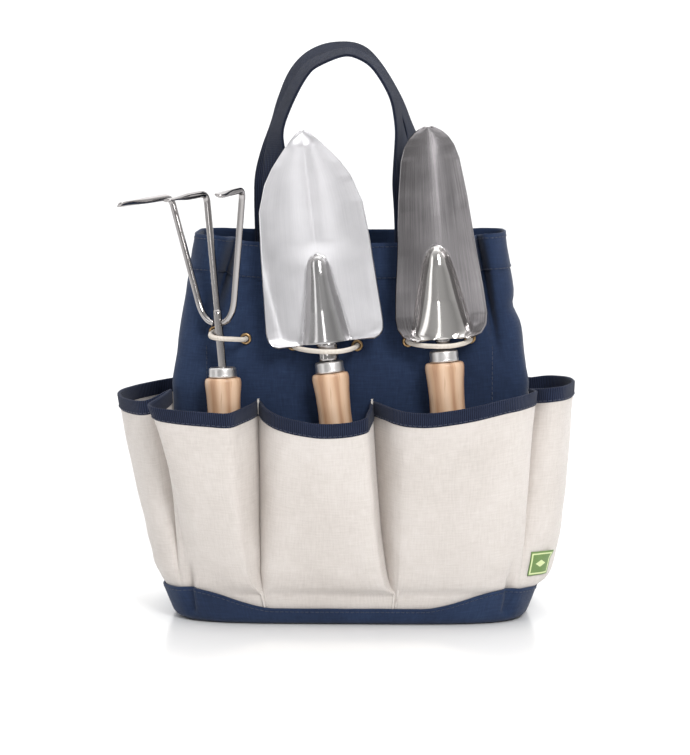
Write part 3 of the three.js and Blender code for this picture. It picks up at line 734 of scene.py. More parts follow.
# rim is each pocket's plan at the rim, counter-clockwise. Heights, fullness and feet go with its
# points. A fullness below 1 fills the pocket out low down, and above 1 pinches it in. Feet are
# shares of the way along the lower edge.
POCKETS = {
    "front_left": {
        "rim": [(-133, -42), (-138.5, -62), (-145, -79), (-141, -90), (-126, -94), (-103, -96),
                (-87, -94), (-79, -82), (-72, -67), (-66.3, -49.5)],
        "heights": [171, 168, 165.5, 164, 162.5, 161, 160, 161, 162.5, 164],
        "fullness": [0.8, 1.4, 2.1, 1.6, 1, 0.6, 0.4, 0.4, 0.45, 0.5],
        "feet": [0, 0.03, 0.07, 0.15, 0.36, 0.66, 0.94, 0.965, 0.985, 1],
        "foot": (("side", -1, -54.8), ("front", -58.6)),
    },
    "front_centre": {
        "rim": [(-67.3, -49.5), (-61.5, -70), (-51, -84.5), (-37, -91.5), (-19, -95), (0, -95),
                (12.5, -90.5), (15.2, -78), (17.3, -49.5)],
        "heights": [164, 161, 157.5, 154.5, 152.5, 153.5, 156, 158, 163],
        "fullness": [0.5, 0.5, 0.5, 0.5, 0.45, 0.4, 0.33, 0.33, 0.4],
        "feet": [0, 0.012, 0.06, 0.2, 0.45, 0.72, 0.95, 0.98, 1],
        "foot": (("front", -59.8), ("front", 33.8)),
    },
    "front_right": {
        "rim": [(16.1, -49.5), (25, -68), (34, -82), (45, -91), (63, -95), (88, -96), (111, -92),
                (127, -80), (137, -63), (134, -44)],
        "heights": [164, 163, 161.5, 160.5, 161, 165, 170, 172, 173, 172.5],
        "fullness": [0.4, 0.5, 0.55, 0.55, 0.55, 0.55, 0.6, 0.7, 0.8, 0.8],
        "feet": [0, 0.006, 0.014, 0.04, 0.28, 0.55, 0.8, 0.89, 0.96, 1],
        "foot": (("front", 32.6), ("side", 1, -54.8)),
    },
    "side_right": {
        "rim": [(134, -41), (142, -48), (150, -50), (159, -43), (165.5, -24), (167, 0),
                (163, 26), (150, 41), (134, 41)],
        "heights": [172, 173, 174, 174.5, 174.5, 174, 173, 172, 170],
        "fullness": [0.8, 0.7, 0.45, 0.32, 0.3, 0.3, 0.35, 0.5, 0.8],
        "feet": [0, 0.03, 0.09, 0.2, 0.35, 0.5, 0.7, 0.9, 1],
        "foot": (("side", 1, -56), ("side", 1, 56)),
    },
    "side_left": {
        "rim": [(-134, 41), (-150, 43), (-167, 28), (-175, 4), (-172, -22), (-160, -43),
                (-148, -49), (-134, -40.5)],
        "heights": [170, 167, 165, 164, 163, 162.5, 164, 170],
        "fullness": [0.8, 0.65, 0.65, 0.65, 0.65, 0.7, 0.8, 0.8],
        "feet": [0, 0.1, 0.3, 0.5, 0.68, 0.88, 0.97, 1],
        "foot": (("side", -1, 56), ("side", -1, -56)),
    },
}
BACK_OF = {"back_right": "front_left", "back_centre": "front_centre", "back_left": "front_right"}
for twin, name in BACK_OF.items():
    POCKETS[twin] = dict(POCKETS[name], turned=True)


def foot_points(ends):
    half_x, half_y = (half - FOOT_INSET for half in boot_half(CLOTH_FOOT))

    def angle_of(spot):
        if spot[0] == "front":
            return -math.acos(signed_power(spot[1] / half_x, OBLONG / 2))
        up = math.asin(signed_power(spot[2] / half_y, OBLONG / 2))
        return up if spot[1] > 0 else -math.pi - up

    start, end = angle_of(ends[0]), angle_of(ends[1])
    if end < start:
        end += 2 * math.pi
    outline = np.array([oblong_point(half_x, half_y, a) for a in np.linspace(start, end, 120)])
    run = running_length(outline)
    return run / run[-1], outline


def pocket_value(pocket, key, u):
    return float(spline([(value,) for value in pocket[key]], u)[0])


def pocket_plan(pocket, u, z):
    rim_z = pocket_value(pocket, "heights", u)
    rise = clamp((z - SPREAD_FROM) / (rim_z - SPREAD_FROM))
    spread = rise ** pocket_value(pocket, "fullness", u)
    share = clamp(pocket_value(pocket, "feet", u))
    foot = spots_at(share, *pocket["outline"])
    rise = min(z, SPREAD_FROM) - CLOTH_FOOT
    foot = foot * (1 + FLARE["x"] * rise / BOOT_FOOT["x"], 1 + FLARE["y"] * rise / BOOT_FOOT["y"])
    return foot + (spline(pocket["rim"], u) - foot) * spread


def pocket_normal(pocket, u, z):
    """Outward, level."""
    step = 0.006
    way = (pocket_plan(pocket, min(u + step, 1), z) - pocket_plan(pocket, max(u - step, 0), z))
    return unit((way[1], -way[0], 0))


def pocket_point(pocket, u, z, proud=0.0):
    x, y = pocket_plan(pocket, u, z)
    out = pocket_normal(pocket, u, z)
    lift = smooth((z - 14) / 30) * smooth(u / 0.08) * smooth((1 - u) / 0.08)
    seed = pocket["seed"]
    sag = 1.4 * ripple((x, y * 0.6, z * 0.35), 34, seed) + 0.5 * ripple((x, y, z * 0.6), 12, seed)
    low = 1.2 * ripple((x, y, z), 16, seed + 5) * bump((z - 40) / 26)
    tuck = corner_fold(x, y) * smooth((54 - z) / 28)
    return np.array([x, y, z]) + out * (proud + lift * (sag + low) - tuck)


def turn_back(pocket, point):
    """The back pockets are the front ones turned half way round."""
    point = np.asarray(point, float)
    return point * (-1, -1, 1) if pocket.get("turned") else point


def make_pocket(name, pocket):
    pocket["outline"] = foot_points(pocket["foot"])
    pocket["seed"] = 11.0 + 7.3 * sorted(POCKETS).index(name)
    us = np.linspace(0, 1, 91)

    def cloth(u, v):
        edge = pocket_value(pocket, "heights", u) - 3
        return turn_back(pocket, pocket_point(pocket, u, mix(CLOTH_FOOT, edge, v)))

    sheet = thicken(grid(f"pocket_{name}_cloth", cloth, us, np.linspace(0, 1, 61)), POCKET_CLOTH)
    finish_piece(sheet, "bag", "cream_canvas", CREAM, f"pocket_{name}")

    centres, ups, outs = [], [], []
    for u in np.linspace(0, 1, 141):
        rim = pocket_value(pocket, "heights", u)
        top = pocket_point(pocket, u, rim)
        low = pocket_point(pocket, u, rim - BINDING["height"])
        out = pocket_normal(pocket, u, rim)
        middle = (top + low) / 2 - out * POCKET_CLOTH / 2
        centres.append(turn_back(pocket, middle))
        ups.append(unit(turn_back(pocket, top - low)))
        outs.append(unit(turn_back(pocket, out)))
    profile = rounded_bar(BINDING["height"], BINDING["thickness"], BINDING["corner"])
    tape = sweep(f"binding_{name}_tape", centres, ups, outs, profile)
    finish_piece(tape, "bag", "binding_tape", TAPE, f"binding_{name}")

    line, outs = [], []
    proud = (BINDING["thickness"] - POCKET_CLOTH) / 2 + 0.05
    for u in np.linspace(0.01, 0.99, 121):
        z = pocket_value(pocket, "heights", u) - BINDING["height"] + BINDING["stitches"]
        line.append(turn_back(pocket, pocket_point(pocket, u, z, proud)))
        outs.append(turn_back(pocket, pocket_normal(pocket, u, z)))
    sew(f"binding_{name}_stitches", line, outs, "binding_tape")


for pocket_name, pocket_shape in POCKETS.items():
    make_pocket(pocket_name, pocket_shape)

# Body shell --------------------------------------------------------------------------------

# The plan at each height is an oblong. Folds pull it in near the two front corners: a deep one on
# the left, where the front panel drops behind the gusset, and a shallow pleat on the right.
BODY_SIDES = [(0, 128.5), (22, 129), (60, 132), (176, 132.5), (283, 115)]
BODY_SQUARE = {"power": 8.0, "from_z": 176.0}
SEAM = {"x": 105.0, "low": 60.0, "high": 206.0}       # where the side panels are sewn on
DENT = {"z": 232.0, "height": 9.0, "depth": 3.6}      # in the right side
EDGE = [(-130, 285.5), (-98, 285), (-90, 283), (-80, 281), (-60, 279.5), (0, 279), (60, 280),
        (90, 283), (98, 286), (130, 287.5)]
FOLDS = [
    # x at the mouth, drift in x per mm down, depth, width, top and foot of the fold
    {"x": -84.0, "drift": -0.30, "depth": 20.0, "width": 7.0, "fade": (195, 262)},
    {"x": -102.0, "drift": -0.14, "depth": -4.5, "width": 9.0, "fade": (190, 280)},
    {"x": 93.5, "drift": 0.18, "depth": 13.0, "width": 4.4, "fade": (185, 255)},
    {"x": 104.0, "drift": 0.12, "depth": -3.5, "width": 8.0, "fade": (200, 275)},
    {"x": 34.0, "drift": 0.10, "depth": 2.2, "width": 16.0, "fade": (150, 240)},
    {"x": -34.0, "drift": -0.16, "depth": 1.8, "width": 14.0, "fade": (150, 250)},
]


def body_half(z):
    half_x = between(BODY_SIDES, z)
    half_y = PANEL_FOOT_Y - SLOPE * z
    square = mix(OBLONG, BODY_SQUARE["power"], clamp(z / BODY_SQUARE["from_z"]))
    return half_x, half_y, square


def body_angles(count):
    """Angles that space the mouth's outline evenly, with more where the folds are."""
    half_x, half_y, square = body_half(250)
    dense = np.linspace(0, 2 * math.pi, 6001)
    outline = np.array([(half_x * signed_power(math.cos(a), 2 / square),
                         half_y * signed_power(math.sin(a), 2 / square)) for a in dense])
    steps = np.linalg.norm(np.diff(outline, axis=0), axis=1)
    middle = (outline[1:] + outline[:-1]) / 2
    near = sum(np.exp(-((middle[:, 0] - f["x"]) / 9.0) ** 2) for f in FOLDS if f["depth"] > 3)
    return even_shares(totals(steps * (1 + 2.2 * near * (middle[:, 1] < 0))), dense, count)


def body_top(x, y):
    return between(EDGE, x) if y < 0 else mix(between(EDGE, x), 285.0, 0.8)


def body_plan(angle, z):
    half_x, half_y, square = body_half(z)
    x = half_x * signed_power(math.cos(angle), 2 / square)
    y = half_y * signed_power(math.sin(angle), 2 / square)
    dent = DENT["depth"] * bump((z - DENT["z"]) / DENT["height"])
    x -= dent * smooth((x / half_x - 0.9) / 0.1)
    if y < 0:
        shift, move = 0.0, 0.0
        for fold in FOLDS:
            middle = fold["x"] + fold["drift"] * (BAG_TOP - z)
            low, high = fold["fade"]
            strength = smooth((z - low) / (high - low)) * smooth(-y / half_y * 1.6 - 0.2)
            near = bump((x - middle) / fold["width"])
            shift += fold["depth"] * strength * near
            if fold["depth"] > 3:
                move += 0.35 * strength * fold["width"] * math.tanh(
                    (middle - x) / fold["width"]) * bump((x - middle) / (fold["width"] * 2.5))
        x, y = x + move, y + shift
    return np.array([x, y])


def body_out(angle, z):
    step = 0.004
    way = body_plan(angle + step, z) - body_plan(angle - step, z)
    return unit((way[1], -way[0], 0))


def body_point(angle, z, proud=0.0, top=None):
    x, y = body_plan(angle, z)
    out = body_out(angle, z)
    top = top or body_top(x, y)
    free = smooth((z - 40) / 60)
    folds = 1.5 * ripple((x, y * 0.5, z * 0.45), 42, 2.0) + 0.7 * ripple((x, y, z), 17, 4.0)
    strain = 1.0 * ripple((x + 0.8 * z, y, z * 0.2), 26, 6.0) * bump((z - 205) / 50)
    hem = 0.5 * smooth((z - (top - HEM)) / 1.2)
    groove = -0.55 * bump((z - (top - HEM)) / 0.9)
    calm = mix(1.0, 0.45, smooth((z - top + 30) / 30))
    return np.array([x, y, z]) + out * (proud + hem + groove + free * (folds + strain) * calm)


def seam_angle(z, side, face):
    """Where the outline passes the seam between a side panel and the front or back."""
    half_x, _, square = body_half(z)
    turn = math.acos((SEAM["x"] / half_x) ** (square / 2))
    turn = turn if side > 0 else math.pi - turn
    return -turn if face == "front" else turn


def make_body():
    around = body_angles(420)

    def top_of(angle):
        return body_top(*body_plan(angle, 283))

    def place(angle, v):
        top = top_of(angle)
        below = top - HEM - 2
        z = mix(CLOTH_FOOT, below, v) if v <= 1 else mix(below, top, v - 1)
        return body_point(angle, z, top=top)

    rows = list(np.linspace(0, 1, 56)) + [1.03, 1.05, 1.07, 1.09, 1.12]
    rows += list(np.linspace(1.2, 2, 12))
    shell = thicken(grid("body_shell", place, around, rows, wrap=True), CANVAS)
    finish_piece(shell, "bag", "navy_canvas", NAVY, "front_panel", "back_panel", "gusset_left",
                 "gusset_right")
    loop = np.append(around, around[0] + 2 * math.pi)
    for label, drop in (("hem", HEM - 1.3), ("edge", 3.0)):
        line = [body_point(a, top_of(a) - drop, 0.1, top_of(a)) for a in loop]
        sew(f"{label}_stitches", line, [body_out(a, 270) for a in loop])
    heights = np.linspace(SEAM["low"], SEAM["high"], 60)
    for side in (-1, 1):
        for face in ("front", "back"):
            seam = [(seam_angle(z, side, face), z) for z in heights]
            word = "left" if side < 0 else "right"
            sew(f"{face}_{word}_seam_stitches", [body_point(*spot, 0.1) for spot in seam],
                [body_out(*spot) for spot in seam])


make_body()
frame["nodes"]["bottom_board"].data.materials.clear()
frame["nodes"]["bottom_board"].data.materials.append(BOARD)

# Tools -------------------------------------------------------------------------------------

HANDLE_LENGTH = 100.0
FERRULES = {"cultivator": (10.2, 7.4), "trowel": (10.6, 8.2), "transplanter": (10.6, 8.6)}
GRIPS = {"cultivator": 13.3, "trowel": 13.5, "transplanter": 14.3}


class ToolPlace:
    """Local frame of a tool: Z up its axis, -Y to the front, origin at its ferrule's top."""

    def __init__(self, name):
        joint = next(j for j in frame["joints"] if j["child"] == name)
        self.up = unit(joint["axis"])
        self.side = unit(np.cross((0, 1, 0), self.up))
        self.back = np.cross(self.up, self.side)
        low, high = corners(f"{name}_ferrule")
        self.origin = (low + high) / 2 + self.up * FERRULES[name][1] / 2

    def at(self, x, y, z):
        return self.origin + self.side * x + self.back * y + self.up * z


def smooth_profile(points):
    """A lathe profile eased through its points, in six steps from each to the next."""
    spans = 6 * (len(points) - 1)
    made = [spline(points, k / spans) for k in range(spans + 1)]
    return [(max(r, 0.0), z) for r, z in made]


def make_grip(name, place):
    radius, height = FERRULES[name]
    ring = [(3.4, -height), (radius - 0.2, -height), (radius, -height + 0.3),
            (radius + 0.15, -height + 1.0), (radius, -height + 1.7), (radius - 0.15, -height + 2.2),
            (radius - 0.2, -1.6), (radius - 0.5, -0.8), (radius - 1.3, -0.2), (radius - 2.2, 0.0),
            (3.4, 0.0), (3.4, -height)]
    finish_piece(lathe(f"{name}_ferrule_ring", ring, place.origin, place.up, 64), name,
                 "polished_steel", SPUN, f"{name}_ferrule")
    grip = GRIPS[name]
    top = -height - 0.4
    end = top - HANDLE_LENGTH
    body = smooth_profile([
        (0.01, end), (6, end + 0.5), (10.5, end + 3), (grip - 0.6, end + 9), (grip + 0.4, end + 26),
        (grip - 0.8, end + 50), (grip - 1.5, end + 68), (grip - 1.0, end + 84),
        (grip - 0.1, top - 6), (grip - 0.1, top - 2.6), (grip - 0.7, top - 0.8),
        (grip - 2.0, top - 0.1)])
    body += [(3.5, top), (3.5, top - 4), (0.01, top - 4)]
    finish_piece(lathe(f"{name}_grip", body, place.origin, place.up, 64), name, "turned_wood",
                 WOOD, f"{name}_handle")


BLADES = {
    "trowel": {
        "low": 13.4, "length": 155.0,
        "half": [(0, 1.2), (2, 4.5), (5, 8.3), (9, 12), (15, 17), (25, 25), (36, 31.5), (55, 37.5),
                 (82, 39.8), (118, 41.5), (143, 42.6), (149, 42), (153, 39.5), (155, 35)],
        "sag": [(0, 1), (40, 6), (100, 9), (155, 10)],
        "back": 5.0,
        "crease": 2.9,
        "steel": SATIN,
        "socket": {"height": 64.0,
                   "half": [(0, 1.5), (1, 3.6), (3, 6), (6, 7.4), (20, 9.4), (40, 13), (64, 17)],
                   "rise": [(0, 0.6), (1, 2), (3, 3.8), (7, 5.6), (14, 7), (40, 10.5), (64, 12.5)]},
        "neck": 7.7,
    },
    "transplanter": {
        "low": 8.0, "length": 154.0,
        "half": [(0, 2.5), (1.5, 6.5), (4, 10.5), (8, 14.5), (14, 18), (24, 21), (50, 24.5),
                 (92, 28.5), (118, 31.5), (137, 33), (145, 32), (151, 28), (154, 21)],
        "sag": [(0, 1), (20, 5), (60, 9), (154, 12)],
        "back": 6.0,
        "crease": 0.0,
        "steel": GREY_STEEL,
        "socket": {"height": 67.0,
                   "half": [(0, 1.5), (1, 3.6), (4, 6.4), (8, 8), (20, 11), (40, 15), (67, 20)],
                   "rise": [(0, 0.6), (1, 2), (4, 4.4), (8, 6), (14, 7.4), (40, 11), (67, 12.5)]},
        "neck": 5.6,
    },
}


BLADE_STEEL = {"thickness": 1.5, "rounding": 0.45, "ridge": 14.0}


def blade_surface(shape, place):
    tip = shape["low"] + shape["length"]
    socket = shape["socket"]

    def at(u, v):
        """u from -1 to 1 across, v from 0 at the foot to 1 at the tip."""
        from_tip = shape["length"] * (1 - v)
        half = between(shape["half"], from_tip)
        z = tip - from_tip
        x = u * half
        y = mix(1.0, shape["back"], from_tip / shape["length"])
        y -= between(shape["sag"], from_tip) * u * u
        below = socket["height"] - (z - shape["low"])
        ridge = math.exp(-math.hypot(x, 1.2) / BLADE_STEEL["ridge"])
        y -= shape["crease"] * ridge * smooth(from_tip / 12) * smooth(-below / 20 + 0.4)
        if below > 0:
            wide = between(socket["half"], below)
            rise = between(socket["rise"], below)
            s = abs(x) / wide
            if s < 1.25:
                hump = math.cos(min(s, 1.0) * math.pi / 2) ** 0.8 if s < 1 else 0.0
                y -= rise * hump
                y += 0.8 * bump((s - 1.08) / 0.12) * smooth(below / 12)
        return place.at(x, y, z)

    return at


def mark_socket(sheet, shape, us, vs):
    """Marks the pressed hump. It is polished smoother than the blade round it, and its different
    steel colour is a painted reflection.
    """
    layer = sheet.data.attributes.new("socket", "FLOAT", "POINT")
    socket = shape["socket"]
    marks = []
    for v in vs:
        from_tip = shape["length"] * (1 - v)
        below = socket["height"] - (shape["length"] - from_tip)
        wide = between(socket["half"], below)
        half = between(shape["half"], from_tip)
        marks += [smooth((wide + 1.5 - abs(u) * half) / 2.5) if below > 0 else 0.0 for u in us]
    layer.data.foreach_set("value", marks)


def make_blade(name, place):
    shape = BLADES[name]
    surface = blade_surface(shape, place)
    us = np.linspace(-1, 1, 97)
    vs = 1 - (1 - np.linspace(0, 1, 121)) ** 1.35
    sheet = grid(f"{name}_pressed_blade", surface, us, vs)
    mark_socket(sheet, shape, us, vs)
    thicken(sheet, BLADE_STEEL["thickness"], 0.0)
    soften(sheet, BLADE_STEEL["rounding"])
    finish_piece(sheet, name, "brushed_steel", shape["steel"], f"{name}_blade")
    neck = shape["neck"]
    profile = [(0.01, -60), (2.2, -60), (3, -54), (3, 0.4), (neck - 0.6, 0.45), (neck, 1.0),
               (neck, 2.5), (neck - 0.4, 4.0), (neck - 0.2, shape["low"] - 2),
               (neck + 0.4, shape["low"] + 1.5), (0.01, shape["low"] + 1.5)]
    finish_piece(lathe(f"{name}_neck", profile, place.origin, place.up, 48), name,
                 "polished_steel", POLISHED, f"{name}_tang")


HEAD = {"turn": 33.0, "tilt": 3.4, "bend": 127.0, "fork": 42.0, "spread": 33.0, "prong": 47.0,
        "bend_radius": 7.0, "splay": 15.0}
ROD = {"stem": 3.1, "middle": 2.5, "outer": 2.4, "sides": 20}     # radii, and sides of a ring
TIP = {"stations": 14, "wide": 1.5, "thin": 0.5, "end": 0.8}
KNEE = {"out": 13.5, "up": 3.0, "reach": 14.0}        # where the outer prongs curve in


def rounded_corner(start, corner, end):
    """Points from start to just short of end, on a curve drawn towards the corner."""
    return [start * (1 - t) ** 2 + corner * 2 * t * (1 - t) + end * t * t
            for t in np.linspace(0, 1, 14)[:-1]]


def make_cultivator(place):
    turn, tilt = math.radians(HEAD["turn"]), math.radians(HEAD["tilt"])

    def at(point):
        x, y, z = point
        x, y = x * math.cos(turn) + y * math.sin(turn), -x * math.sin(turn) + y * math.cos(turn)
        x, z = x * math.cos(tilt) - z * math.sin(tilt), x * math.sin(tilt) + z * math.cos(tilt)
        return place.at(x, y, z)

    def rod(name, start, side, splay, radius, node):
        """Straight up to the bend, round it, then out to a flattened tip."""
        bend = np.array([side, 0, HEAD["bend"]])
        foot = np.array(start, float)
        out = unit((math.sin(splay), -math.cos(splay), -0.06))
        points = []
        if side:
            knee = foot + (math.copysign(KNEE["out"], side) - foot[0], 0, KNEE["up"])
            above = knee + unit(bend - knee) * KNEE["reach"]
            points = rounded_corner(foot, knee, above)
            foot = above
        before = bend + unit(foot - bend) * HEAD["bend_radius"]
        after = bend + out * HEAD["bend_radius"]
        tip = bend + out * HEAD["prong"]
        points += [mix(foot, before, t) for t in np.linspace(0, 1, 24)[:-1]]
        points += rounded_corner(before, bend, after)
        points += [mix(after, tip, t) for t in np.linspace(0, 1, 20)]
        centres = np.array([at(p) for p in points])
        acrosses, normals = frames_along(centres, at((1, 0, 0)) - at((0, 0, 0)))
        obj = sweep(name, centres, acrosses, normals, circle(radius, ROD["sides"]))
        flatten_tip(obj, centres, acrosses[-1], normals[-1])
        finish_piece(obj, "cultivator", "polished_steel", POLISHED, node)

    base = HEAD["fork"] - 10
    shank = even_points([place.at(0, 0, -62), place.at(0, 0, -30), place.at(0, 0, -2),
                         at((0, 0, 6)), at((0, 0, HEAD["fork"]))], 30)
    stem = sweep("cultivator_stem", shank, *frames_along(shank), circle(ROD["stem"], ROD["sides"]))
    finish_piece(stem, "cultivator", "polished_steel", POLISHED)
    rod("cultivator_middle_prong", (0, 0, base), 0, 0, ROD["middle"], "cultivator_shank")
    for side, word in ((-1, "left"), (1, "right")):
        rod(f"cultivator_{word}_prong", (side * 4.4, 0, base), side * HEAD["spread"],
            side * math.radians(HEAD["splay"]), ROD["outer"], f"cultivator_tine_{word}")


def flatten_tip(obj, centres, across, normal):
    """Hammers the last stretch of a rod flat, wider and thinner towards its tip."""
    first = len(centres) - TIP["stations"]
    a, n = Vector(across), Vector(normal)
    level, upright = (a, n) if abs(a.z) < abs(n.z) else (n, a)
    for i in range(first, len(centres)):
        share = smooth((i - first) / (TIP["stations"] - 4))
        end = 1.0 if i < len(centres) - 2 else TIP["end"]
        centre = Vector(centres[i]) * MM
        for k in range(ROD["sides"]):
            vertex = obj.data.vertices[i * ROD["sides"] + k]
            offset = vertex.co - centre
            wide = level * offset.dot(level) * mix(1, TIP["wide"], share) * end
            thin = upright * offset.dot(upright) * mix(1, TIP["thin"], share)
            vertex.co = centre + wide + thin


places = {name: ToolPlace(name) for name in FERRULES}
for tool_name, tool_place in places.items():
    make_grip(tool_name, tool_place)
for tool_name in BLADES:
    make_blade(tool_name, places[tool_name])
make_cultivator(places["cultivator"])

# Eyelets and elastic loops -----------------------------------------------------------------

LOOPS = {
    "cultivator": [(-101.2, 9.5, 213.4), (-100, 18, 212.2), (-94, 22, 211.4), (-86, 18.6, 210.6),
                   (-78, 9.5, 209.3)],
    "trowel": [(-39, 10, 203.5), (-31, 19.6, 202.9), (-22, 26.2, 202.7), (-14.6, 28, 202.6),
               (-7, 26.2, 202.7), (-1, 19.6, 203), (4, 10, 203.7)],
    "transplanter": [(46, 10.3, 206.8), (54, 20, 206.4), (62, 24.8, 206.4), (68.6, 26.2, 206.5),
                     (76, 24.3, 206.9), (83, 18.5, 207.8), (88, 10, 209.2)],
}


# (radius, depth) of the rolled ring, and how far the panel's face lies behind its front.
EYELET_RING = [(2.3, -1.0), (2.6, -1.5), (3.1, -1.75), (3.7, -1.6), (4.25, -1.0), (4.35, -0.3),
               (4.1, 0.05), (3.0, 0.1), (3.0, 2.6), (4.1, 2.7), (4.2, 3.2), (3.4, 3.5),
               (2.5, 3.3), (2.3, 2.8), (2.3, -1.0)]
EYELET_PROUD = 1.4
KNOT = {"turns": 1.6, "radius": 2.0, "depth": 2.4, "behind": 8.0, "slack": 0.95}


def panel_face(z):
    return -(PANEL_FOOT_Y + 0.3) + SLOPE * z


def knot_route(seat, inward):
    """A short coil behind an eyelet."""
    centre = seat + inward * KNOT["behind"]
    route = []
    for t in np.linspace(0, 1, 40):
        angle = t * 2 * math.pi * KNOT["turns"]
        route.append(centre + (KNOT["radius"] * math.cos(angle), KNOT["depth"] * (t - 0.5),
                               KNOT["radius"] * math.sin(angle)))
    return route


for tool_name, via in LOOPS.items():
    seats = []
    inward = unit((0, 1, -SLOPE))
    for side in ("left", "right"):
        node = f"eyelet_{tool_name}_{side}"
        low, high = corners(node)
        seat = (low + high) / 2
        seat[1] = low[1] + EYELET_PROUD
        seats.append(seat)
        ring = lathe(f"eyelet_ring_{tool_name}_{side}", EYELET_RING, seat, inward, 40)
        finish_piece(ring, "bag", "eyelet_metal", BRONZE, node)
    route = [seats[0] + inward * 7, seats[0] + inward * 1.5, seats[0] - inward * 2]
    route += [np.array([x, panel_face(z) - ahead, z]) for x, ahead, z in via]
    route += [seats[1] - inward * 2, seats[1] + inward * 1.5, seats[1] + inward * 7]
    loop = tube(f"elastic_loop_{tool_name}", route, CORD_RADIUS, 16, 140)
    finish_piece(loop, "bag", "elastic_cord", ELASTIC, f"elastic_{tool_name}")
    for k, seat in enumerate(seats):
        tie = tube(f"elastic_knot_{tool_name}_{k}", knot_route(seat, inward),
                   CORD_RADIUS * KNOT["slack"], 12, 50)
        finish_piece(tie, "bag", "elastic_cord", ELASTIC)

# Handles -----------------------------------------------------------------------------------

HANDLES = {
    "rear": {
        "side": 1,
        "route": [(-62.5, 306), (-63, 325), (-61, 345), (-57.2, 362), (-52, 381), (-44.2, 400),
                  (-33.8, 412.5), (-20.5, 419.5), (-6, 421.5), (4.5, 420), (13, 414.5),
                  (23.8, 401), (35.6, 380.5), (43.4, 360), (48.5, 340), (52.5, 322), (55.5, 306)],
        "feet": (-62, 57),
        "top": (30, 421.5),
    },
    "front": {
        "side": -1,
        "route": [(-51.5, 306), (-53.5, 328), (-54.6, 346), (-53, 363), (-43.6, 386.5),
                  (-32.2, 405), (-20.9, 412.5), (-4, 418), (8.6, 415), (20, 406), (31.8, 385.5),
                  (36, 365), (38.4, 348), (42, 324), (44.5, 306)],
        "feet": (-51, 45.4),
        "top": (-30, 418),
    },
}
FOLD_Z = 290.0
SEWN = (262, 284)             # heights that the webbing passes on its way from its sewn end
STRAP_TURN = 80.0             # rise over which the webbing turns
STRAP_LIE = {"middle": 15.0, "per_x": 0.12}   # degrees short of edge-on, more on the left


def make_handle(name, handle):
    low, high = corners(f"{name}_strap_end_left")
    seat = (low[1] + high[1]) / 2 - handle["side"] * (high[2] - low[2]) * 0.5 * SLOPE
    hang = low[2]
    top_y, top_z = handle["top"]

    def depth(z):
        if z < FOLD_Z:
            return seat + handle["side"] * max(0, BAG_TOP - z) * SLOPE
        return mix(seat, top_y, clamp((z - FOLD_Z) / (top_z - FOLD_Z)))

    left, right = handle["feet"]
    points = [(left, z) for z in (hang, *SEWN)] + handle["route"]
    points += [(right, z) for z in (*SEWN[::-1], hang)]
    centres = even_points([(x, depth(z), z) for x, z in points], 170)
    ways = np.gradient(centres, axis=0)
    lean = unit((0, top_y - seat, top_z - FOLD_Z))
    edge_on = np.cross(lean, (1, 0, 0))
    acrosses, normals = [], []
    for centre, way in zip(centres, ways):
        way = unit(way)
        lie = math.radians(90 - STRAP_LIE["middle"] + STRAP_LIE["per_x"] * centre[0])
        turn = smooth((centre[2] - FOLD_Z) / STRAP_TURN) * lie
        width = np.cross(way, edge_on) * math.cos(turn) + edge_on * math.sin(turn)
        width = unit(width - way * width.dot(way))
        acrosses.append(width)
        normals.append(np.cross(width, way))
    profile = rounded_bar(STRAP["width"], STRAP["thickness"], STRAP["corner"])
    dense = []
    for a, b in zip(profile, profile[1:] + profile[:1]):
        pieces = 10 if abs(a[0] - b[0]) > 10 else 1
        dense += [mix(np.array(a), np.array(b), k / pieces) for k in range(pieces)]
    strap = sweep(f"{name}_handle_webbing", centres, acrosses, normals, dense)
    finish_piece(strap, None, "webbing", WEBBING, f"{name}_handle_strap",
                 f"{name}_strap_end_left", f"{name}_strap_end_right")
    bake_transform(strap)


for handle_name, handle_shape in HANDLES.items():
    make_handle(handle_name, handle_shape)

# Label -------------------------------------------------------------------------------------

# Its place in shares of the pocket's plan, its heights, and how far its loose corner lifts.
LABEL = {"from": 0.17, "to": 0.36, "low": 34.0, "high": 52.0, "lift": 2.4, "proud": 1.1,
         "thickness": 0.7}


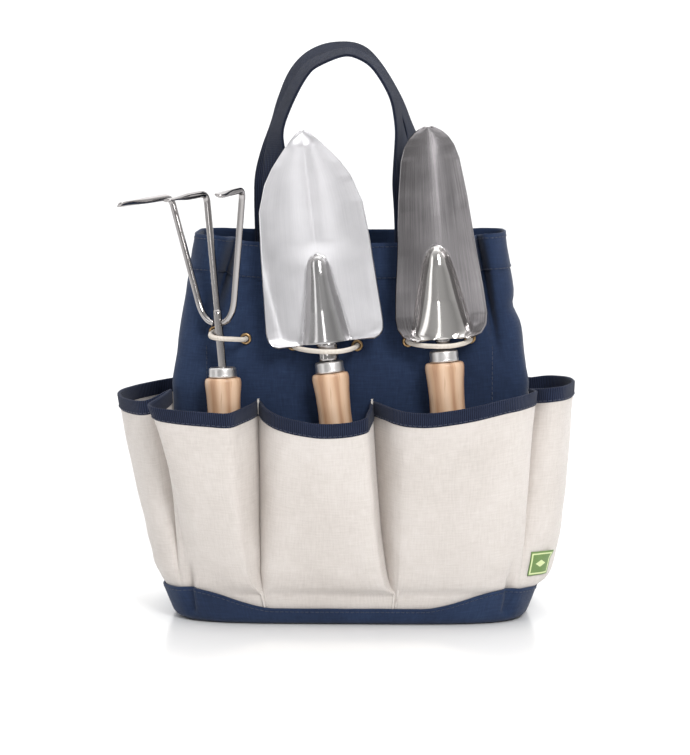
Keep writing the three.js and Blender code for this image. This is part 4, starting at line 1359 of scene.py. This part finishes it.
def label_material(width, height):
    """Green damask with a paler border and one plain leaf-like lozenge."""
    s = Shader("woven_label")
    parts = s.node("ShaderNodeSeparateXYZ", {"Vector": s.place()})
    off_u = s.maths("ABSOLUTE", s.maths("SUBTRACT", parts.outputs[0], width / 2))
    off_v = s.maths("ABSOLUTE", s.maths("SUBTRACT", parts.outputs[1], height / 2))
    in_u = s.maths("SUBTRACT", width / 2, off_u)
    in_v = s.maths("SUBTRACT", height / 2, off_v)
    edge = s.maths("MINIMUM", in_u, in_v)
    border = s.maths("MULTIPLY", s.maths("GREATER_THAN", edge, 0.0009),
                     s.maths("LESS_THAN", edge, 0.0020))
    leaf = s.maths("LESS_THAN", s.maths("ADD", s.maths("MULTIPLY", off_u, 0.6), off_v), 0.0028)
    mark = s.maths("MAXIMUM", border, leaf)
    threads = weave_height(s, 0.5)
    green = s.ramp(threads, [(0.1, (0.07, 0.13, 0.035)), (0.9, (0.17, 0.29, 0.08))])
    color = s.blend(mark, green, (0.66, 0.74, 0.38))
    s.set(Base_Color=color, Roughness=0.6, Sheen_Weight=0.3, Normal=s.bump(threads, 0.00008, 0.8))
    return s.material


def make_label():
    pocket = POCKETS["side_right"]

    def place(u, v):
        z = mix(LABEL["low"], LABEL["high"], v)
        lift = LABEL["lift"] * smooth((u - 0.5) / 0.5) * smooth((v - 0.6) / 0.4)
        return pocket_point(pocket, mix(LABEL["from"], LABEL["to"], u), z, LABEL["proud"] + lift)

    shares = np.linspace(0, 1, 25)
    width = running_length([place(u, 0.5) for u in shares])[-1] * MM
    height = (LABEL["high"] - LABEL["low"]) * MM
    patch = thicken(grid("label_patch", place, shares, shares), LABEL["thickness"])
    finish_piece(patch, "bag", "woven_label", label_material(width, height), "side_label")


make_label()

# Bartacks ----------------------------------------------------------------------------------


BARTACK = {"low": 154.0, "high": 166.0, "half_width": 0.8, "proud": 6.0, "turns": 26}


def bartack(name, x):
    """A narrow zigzag of cream thread that ties two pockets' bindings to the panel."""
    points = []
    for k in range(BARTACK["turns"] + 1):
        z = mix(BARTACK["low"], BARTACK["high"], k / BARTACK["turns"])
        points.append((x + BARTACK["half_width"] * (1 if k % 2 else -1),
                       panel_face(z) - BARTACK["proud"], z))
    line = stitch_line(name, points, [(0, -1, 0)] * len(points), 1.5, 0.05, 0.33)
    finish_piece(line, "bag", "cream_canvas", CREAM_THREAD)


bartack("bartack_left", -66.8)
bartack("bartack_right", 16.8)
